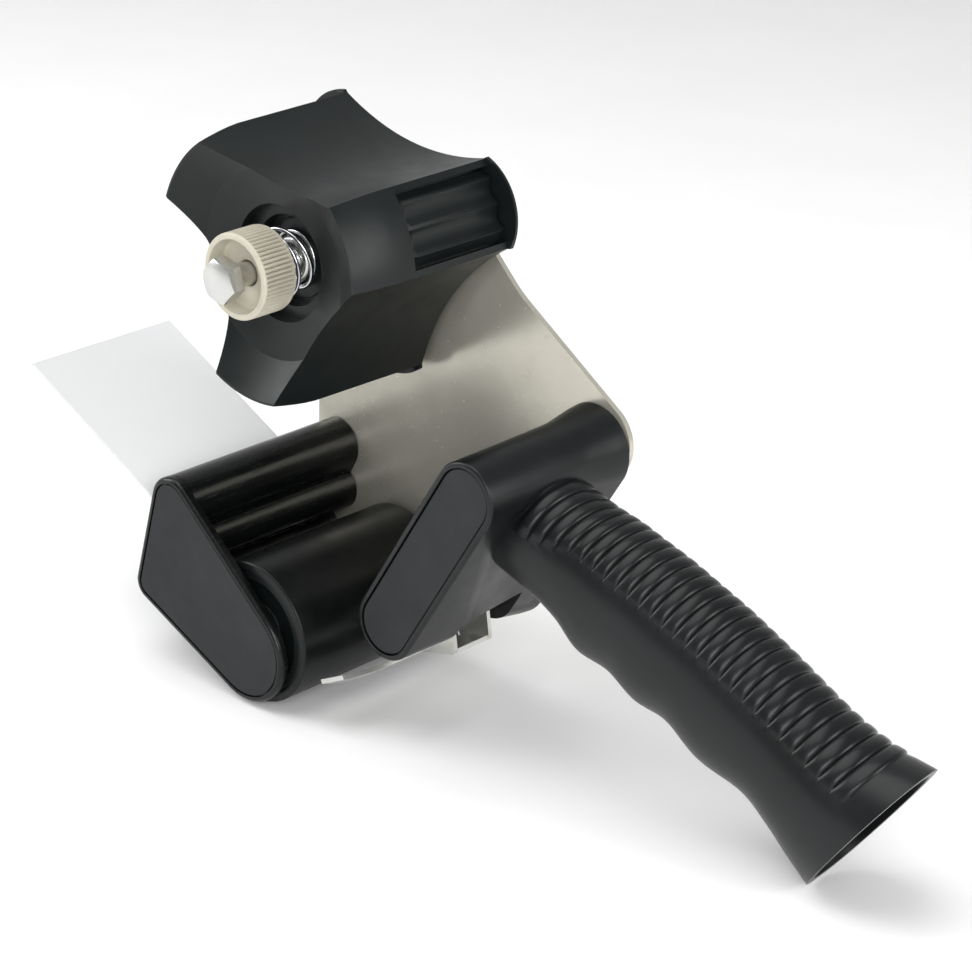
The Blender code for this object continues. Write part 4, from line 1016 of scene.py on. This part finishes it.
def handle_ring(along, shrink=0.0, rib=0.0, count=72):
    """Section of the handle: a soft oval, with ribs on its back."""
    back = through(GRIP_BACK, along)
    fingers = through(GRIP_FINGERS, along)
    widening = smooth(82, HANDLE_LENGTH, along) * (HANDLE_END_HALF_WIDTH - HANDLE_HALF_WIDTH)
    lean = HANDLE_END_LEAN * smooth(70, HANDLE_LENGTH, along)
    middle = (back - fingers) / 2
    skew = HANDLE_END_SKEW * smooth(70, HANDLE_LENGTH, along)
    edge = RIB_EDGE - 0.25 * (1 - smooth(0, 20, along))
    ring = []
    for index in range(count):
        angle = math.tau * index / count
        up = math.copysign(abs(math.cos(angle)) ** 0.9, math.cos(angle))
        side = math.copysign(abs(math.sin(angle)) ** 0.9, math.sin(angle))
        grow = rib * smooth(edge, edge + 0.12, math.cos(angle)) - shrink
        height = middle + ((back + fingers) / 2 + grow) * up
        across = HANDLE_W + (HANDLE_HALF_WIDTH + widening + grow) * side
        spot = handle_point(along + lean * height + skew * (across - HANDLE_W), height)
        ring.append((spot.x, spot.y, across))
    return ring


def handle_stations():
    """Places along the handle with the height of the ribs there: broad ribs and narrow grooves."""
    stations = [(-7.0, 0.0), (-1.0, 0.0)]
    for rib in range(RIB_COUNT):
        for phase in (0.0, 0.07, 0.16, 0.3, 0.5, 0.7, 0.84, 0.93):
            height = RIB_HEIGHT * (1 - (1 - 2 * phase) ** 4)
            stations.append((RIB_START + RIB_PITCH * (rib + phase), height))
    end = RIB_START + RIB_PITCH * RIB_COUNT
    stations += [(end, 0.0), (end + 2.0, 0.0), (HANDLE_LENGTH, 0.0)]
    return stations


def notch_ring(w):
    """Section of the tongue's notch at w: its edge beside the handle is higher near the plate."""
    rise = NOTCH_RISE * (CHEEK_NEAR - w) / (CHEEK_NEAR - NOTCH_FAR)
    corners = [(24.0, -86.5), (24.0, -110), (56.0 + rise, -110), (56.0 + rise, -91.0 + rise),
               (46.0 + rise, -88.0 + rise)]
    return [(x, z, w) for x, z in corners]


def make_handle_housing():
    """Housing and hollow handle, moulded in one piece, with the cap in its face."""
    turns = [math.pi / 2 * i / 5 for i in range(6)]
    steps = [(-0.8 * (1 - math.sin(a)), HOUSING_NEAR - 0.8 * (1 - math.cos(a))) for a in turns]
    steps += [(0.3, -15.0), (FLARE * 0.2, -19.0), (FLARE * 0.5, -23.0), (FLARE * 0.85, -27.5),
              (FLARE, SEAT)]
    shell = loft("housing", [housing_ring(grow, w) for grow, w in steps])
    grip = loft("grip", [handle_ring(along, 0.0, rib) for along, rib in handle_stations()])
    combine(shell, grip, "UNION")
    hollow = [belt(housing_circles(HOUSING_RADIUS - HOUSING_WALL))]
    combine(shell, prism("hollow", hollow, -50, HOUSING_NEAR - 3.6))
    bores = [-4.0 + 4.0 * i for i in range(29)] + [HANDLE_LENGTH, HANDLE_LENGTH + 9]
    combine(shell, loft("bore", [handle_ring(along, HANDLE_WALL, 0.0, 48) for along in bores]))
    for point in HOUSING_SCREWS:
        combine(shell, prism("boss", [circle(point, 3.6, 32)], SEAT, HOUSING_NEAR - 3), "UNION")
    low = housing_circles(HOUSING_RADIUS - 1.0)[1]
    web = belt([low, (low[0] + 3.4, low[1] + 5.7, low[2])])
    for w0 in (CHEEK_NEAR + 1.0, CHEEK_FAR - 1.0 - PIN_WEB):
        combine(shell, prism("web", [web], w0, w0 + PIN_WEB), "UNION")
    combine(shell, loft("notch", [notch_ring(w) for w in (NOTCH_FAR, CHEEK_NEAR + 0.8)]))
    pin_low, pin_high = cad_range("tongue_pin")
    pin_hole = circle(TONGUE_PIVOT, PIN_RADIUS + GAP, 32)
    combine(shell, prism("pin_hole", [pin_hole], pin_low - GAP, pin_high + GAP))
    combine(shell, prism("recess", [belt(housing_circles(HOUSING_RADIUS - 1.5))], HOUSING_NEAR - 1.6, 30))
    stands_for(eased(shell, 0.25, 62), "handle_housing", HANDLE_BLACK)
    low, high = cad_range("housing_cap")
    cap = prism("cap", [belt(housing_circles(HOUSING_RADIUS - 1.9))], low, high)
    stands_for(eased(cap, 0.3, 40, 3), "housing_cap", GREY_INSERT)


# ---- small pieces -------------------------------------------------------
def make_screws():
    """Pan-head screws with a cross recess, from the outside of the plate."""
    places = list(zip([f"front_body_screw_{i}" for i in (1, 2)], BODY_SCREWS))
    places += list(zip([f"housing_screw_{i}" for i in (1, 2)], HOUSING_SCREWS))
    for node, point in places:
        far, near = cad_range(node)
        head = PLATE_OUTER - GAP
        shank = [(0, near), (SCREW_RADIUS - 0.3, near), (SCREW_RADIUS, near - 0.5), (SCREW_RADIUS, head)]
        dome = [(SCREW_HEAD_RADIUS, head), (SCREW_HEAD_RADIUS, head - 0.7), (2.9, head - 1.5),
                (2.2, head - 2.0), (1.2, far + 0.05), (0, far)]
        screw = turned("screw", shank + dome, point, 48)
        for turn in (0.4, 0.4 + math.pi / 2):
            arm = [(-1.7, -0.35), (1.7, -0.35), (1.7, 0.35), (-1.7, 0.35)]
            arm = [(x + point[0], z + point[1]) for x, z in turned_by(arm, turn)]
            combine(screw, prism("recess", [arm], far - 1, far + 1.1))
        stands_for(eased(screw, 0.1, 35), node, ZINC)


def make_tongue_spring():
    """Torsion spring round the pivot pin, with a leg down each side."""
    radius, turns, low, high = 2.5, 4, -13.0, -6.0
    path = []
    count = turns * 40
    for index in range(count + 1):
        angle = math.tau * turns * index / count - math.pi / 2
        level = low + (high - low) * index / count
        x, z = TONGUE_PIVOT
        path.append((x + radius * math.cos(angle), z + radius * math.sin(angle), level))
    first, last = path[0], path[-1]
    legs = [(first[0] - 1.5, first[1] - 0.3, first[2]), (first[0] - 4.4, first[1] - 5.2, first[2])]
    tail = [(last[0] + 1.5, last[1] - 0.2, last[2]), (last[0] + 3.0, last[1] - 4.0, last[2])]
    spring = wire("spring", legs[::-1] + path + tail, 0.4)
    spring.data.shade_smooth()
    stands_for(spring, "tongue_spring", CHROME)


def make_small_pieces():
    """The remaining CAD pieces, with rounded edges and real finishes."""
    finishes = {"hub_bush": ZINC, "hub_spacer": NYLON, "brake_washer": SATIN_BLACK,
                "spring_seat_washer": ZINC, "spindle_washer": ZINC, "roller_bush_near": NYLON,
                "roller_bush_far": NYLON, "roller_spacer": NYLON, "roller_axle": ZINC,
                "tongue_pin": ZINC, "cover_screw_1": ZINC, "cover_screw_2": ZINC}
    for node, finish in finishes.items():
        stands_for(eased(from_cad(node), 0.15, 32), node, finish)
    blade = from_cad("cutting_blade")
    blade.data.shade_flat()
    stands_for(blade, "cutting_blade", BLADE_STEEL)


# ---- camera, light and floor --------------------------------------------
CAMERA_AZIMUTH = math.radians(43.31)
CAMERA_ELEVATION = math.radians(22.29)
CAMERA_ROLL = math.radians(2.5)
CAMERA_DISTANCE = 749.0
CAMERA_RIGHT = 38.2
CAMERA_DOWN = 59.05
CAMERA_LENS = 112.19


def make_camera():
    """Camera at the viewing angle of the reference, a little above the open side."""
    azimuth, elevation = CAMERA_AZIMUTH, CAMERA_ELEVATION
    right = Vector((math.cos(azimuth), math.sin(azimuth), 0))
    ahead = Vector((-math.sin(azimuth) * math.cos(elevation), math.cos(azimuth) * math.cos(elevation),
                    -math.sin(elevation)))
    up = right.cross(ahead)
    roll = Matrix.Rotation(abs(STANCE) - CAMERA_ROLL, 3, "Y")
    right, ahead, up = roll @ right, roll @ ahead, roll @ up
    place = HUB + (right * CAMERA_RIGHT - up * CAMERA_DOWN - ahead * CAMERA_DISTANCE) * MM
    camera = bpy.data.objects.new("camera", bpy.data.cameras.new("camera"))
    camera.data.sensor_width = 36.0
    camera.data.lens = CAMERA_LENS
    camera.data.clip_start = 0.01
    camera.matrix_world = Matrix.Translation(place) @ Matrix((right, up, -ahead)).transposed().to_4x4()
    bpy.context.scene.collection.objects.link(camera)
    bpy.context.scene.camera = camera


def softbox(name, place, aim, size, watts):
    """Rectangular soft light at a place, pointed at aim."""
    lamp = bpy.data.lights.new(name, "AREA")
    lamp.shape = "RECTANGLE"
    lamp.size, lamp.size_y = size
    lamp.energy = watts
    made = bpy.data.objects.new(name, lamp)
    made.location = place
    made.rotation_euler = (Vector(aim) - Vector(place)).to_track_quat("-Z", "Y").to_euler()
    bpy.context.scene.collection.objects.link(made)


def make_studio():
    """Pale floor that curves up behind, a white surround and four softboxes."""
    work = bmesh.new()
    depth, rise, bend, half = 1.6, 1.6, 0.7, 3.2
    turns = [math.pi / 2 * i / 16 for i in range(1, 17)]
    profile = [(-2.4, 0.0), (depth - bend, 0.0)]
    profile += [(depth - bend + bend * math.sin(a), bend * (1 - math.cos(a))) for a in turns]
    profile.append((depth, rise))
    away = Matrix.Rotation(math.radians(43), 3, "Z")
    rows = []
    for side in (-half, half):
        points = [away @ Vector((side, along, height - GAP * MM)) for along, height in profile]
        rows.append([work.verts.new(point) for point in points])
    for i in range(len(profile) - 1):
        work.faces.new((rows[0][i], rows[1][i], rows[1][i + 1], rows[0][i + 1]))
    mesh = bpy.data.meshes.new("floor")
    work.to_mesh(mesh)
    work.free()
    mesh.shade_smooth()
    mesh.materials.append(floor_paper())
    new_object("floor", mesh)
    world = bpy.data.worlds.new("surround")
    world.use_nodes = True
    world.node_tree.nodes["Background"].inputs["Color"].default_value = (1.0, 1.0, 1.0, 1.0)
    world.node_tree.nodes["Background"].inputs["Strength"].default_value = 0.36
    bpy.context.scene.world = world
    softbox("top_softbox", (-0.15, -0.1, 0.9), (0.0, 0.0, 0.05), (0.9, 0.7), 4.5)
    softbox("left_softbox", (-0.9, -0.5, 0.55), (-0.02, 0.0, 0.08), (0.5, 0.8), 6.0)
    softbox("front_softbox", (0.75, -0.8, 0.5), (0.05, 0.0, 0.05), (0.7, 0.7), 8.5)
    softbox("right_softbox", (1.0, 0.3, 0.42), (0.0, 0.0, 0.08), (0.5, 0.6), 5.0)
    bpy.context.scene.view_settings.view_transform = "Standard"


make_camera()
make_studio()
make_side_plate()
make_front_body()
make_cover()
make_flap()
make_roller()
make_tongue()
make_tongue_spring()
make_handle_housing()
make_screws()
make_hub()
make_grips()
make_spindle()
make_knob()
make_spring()
make_small_pieces()
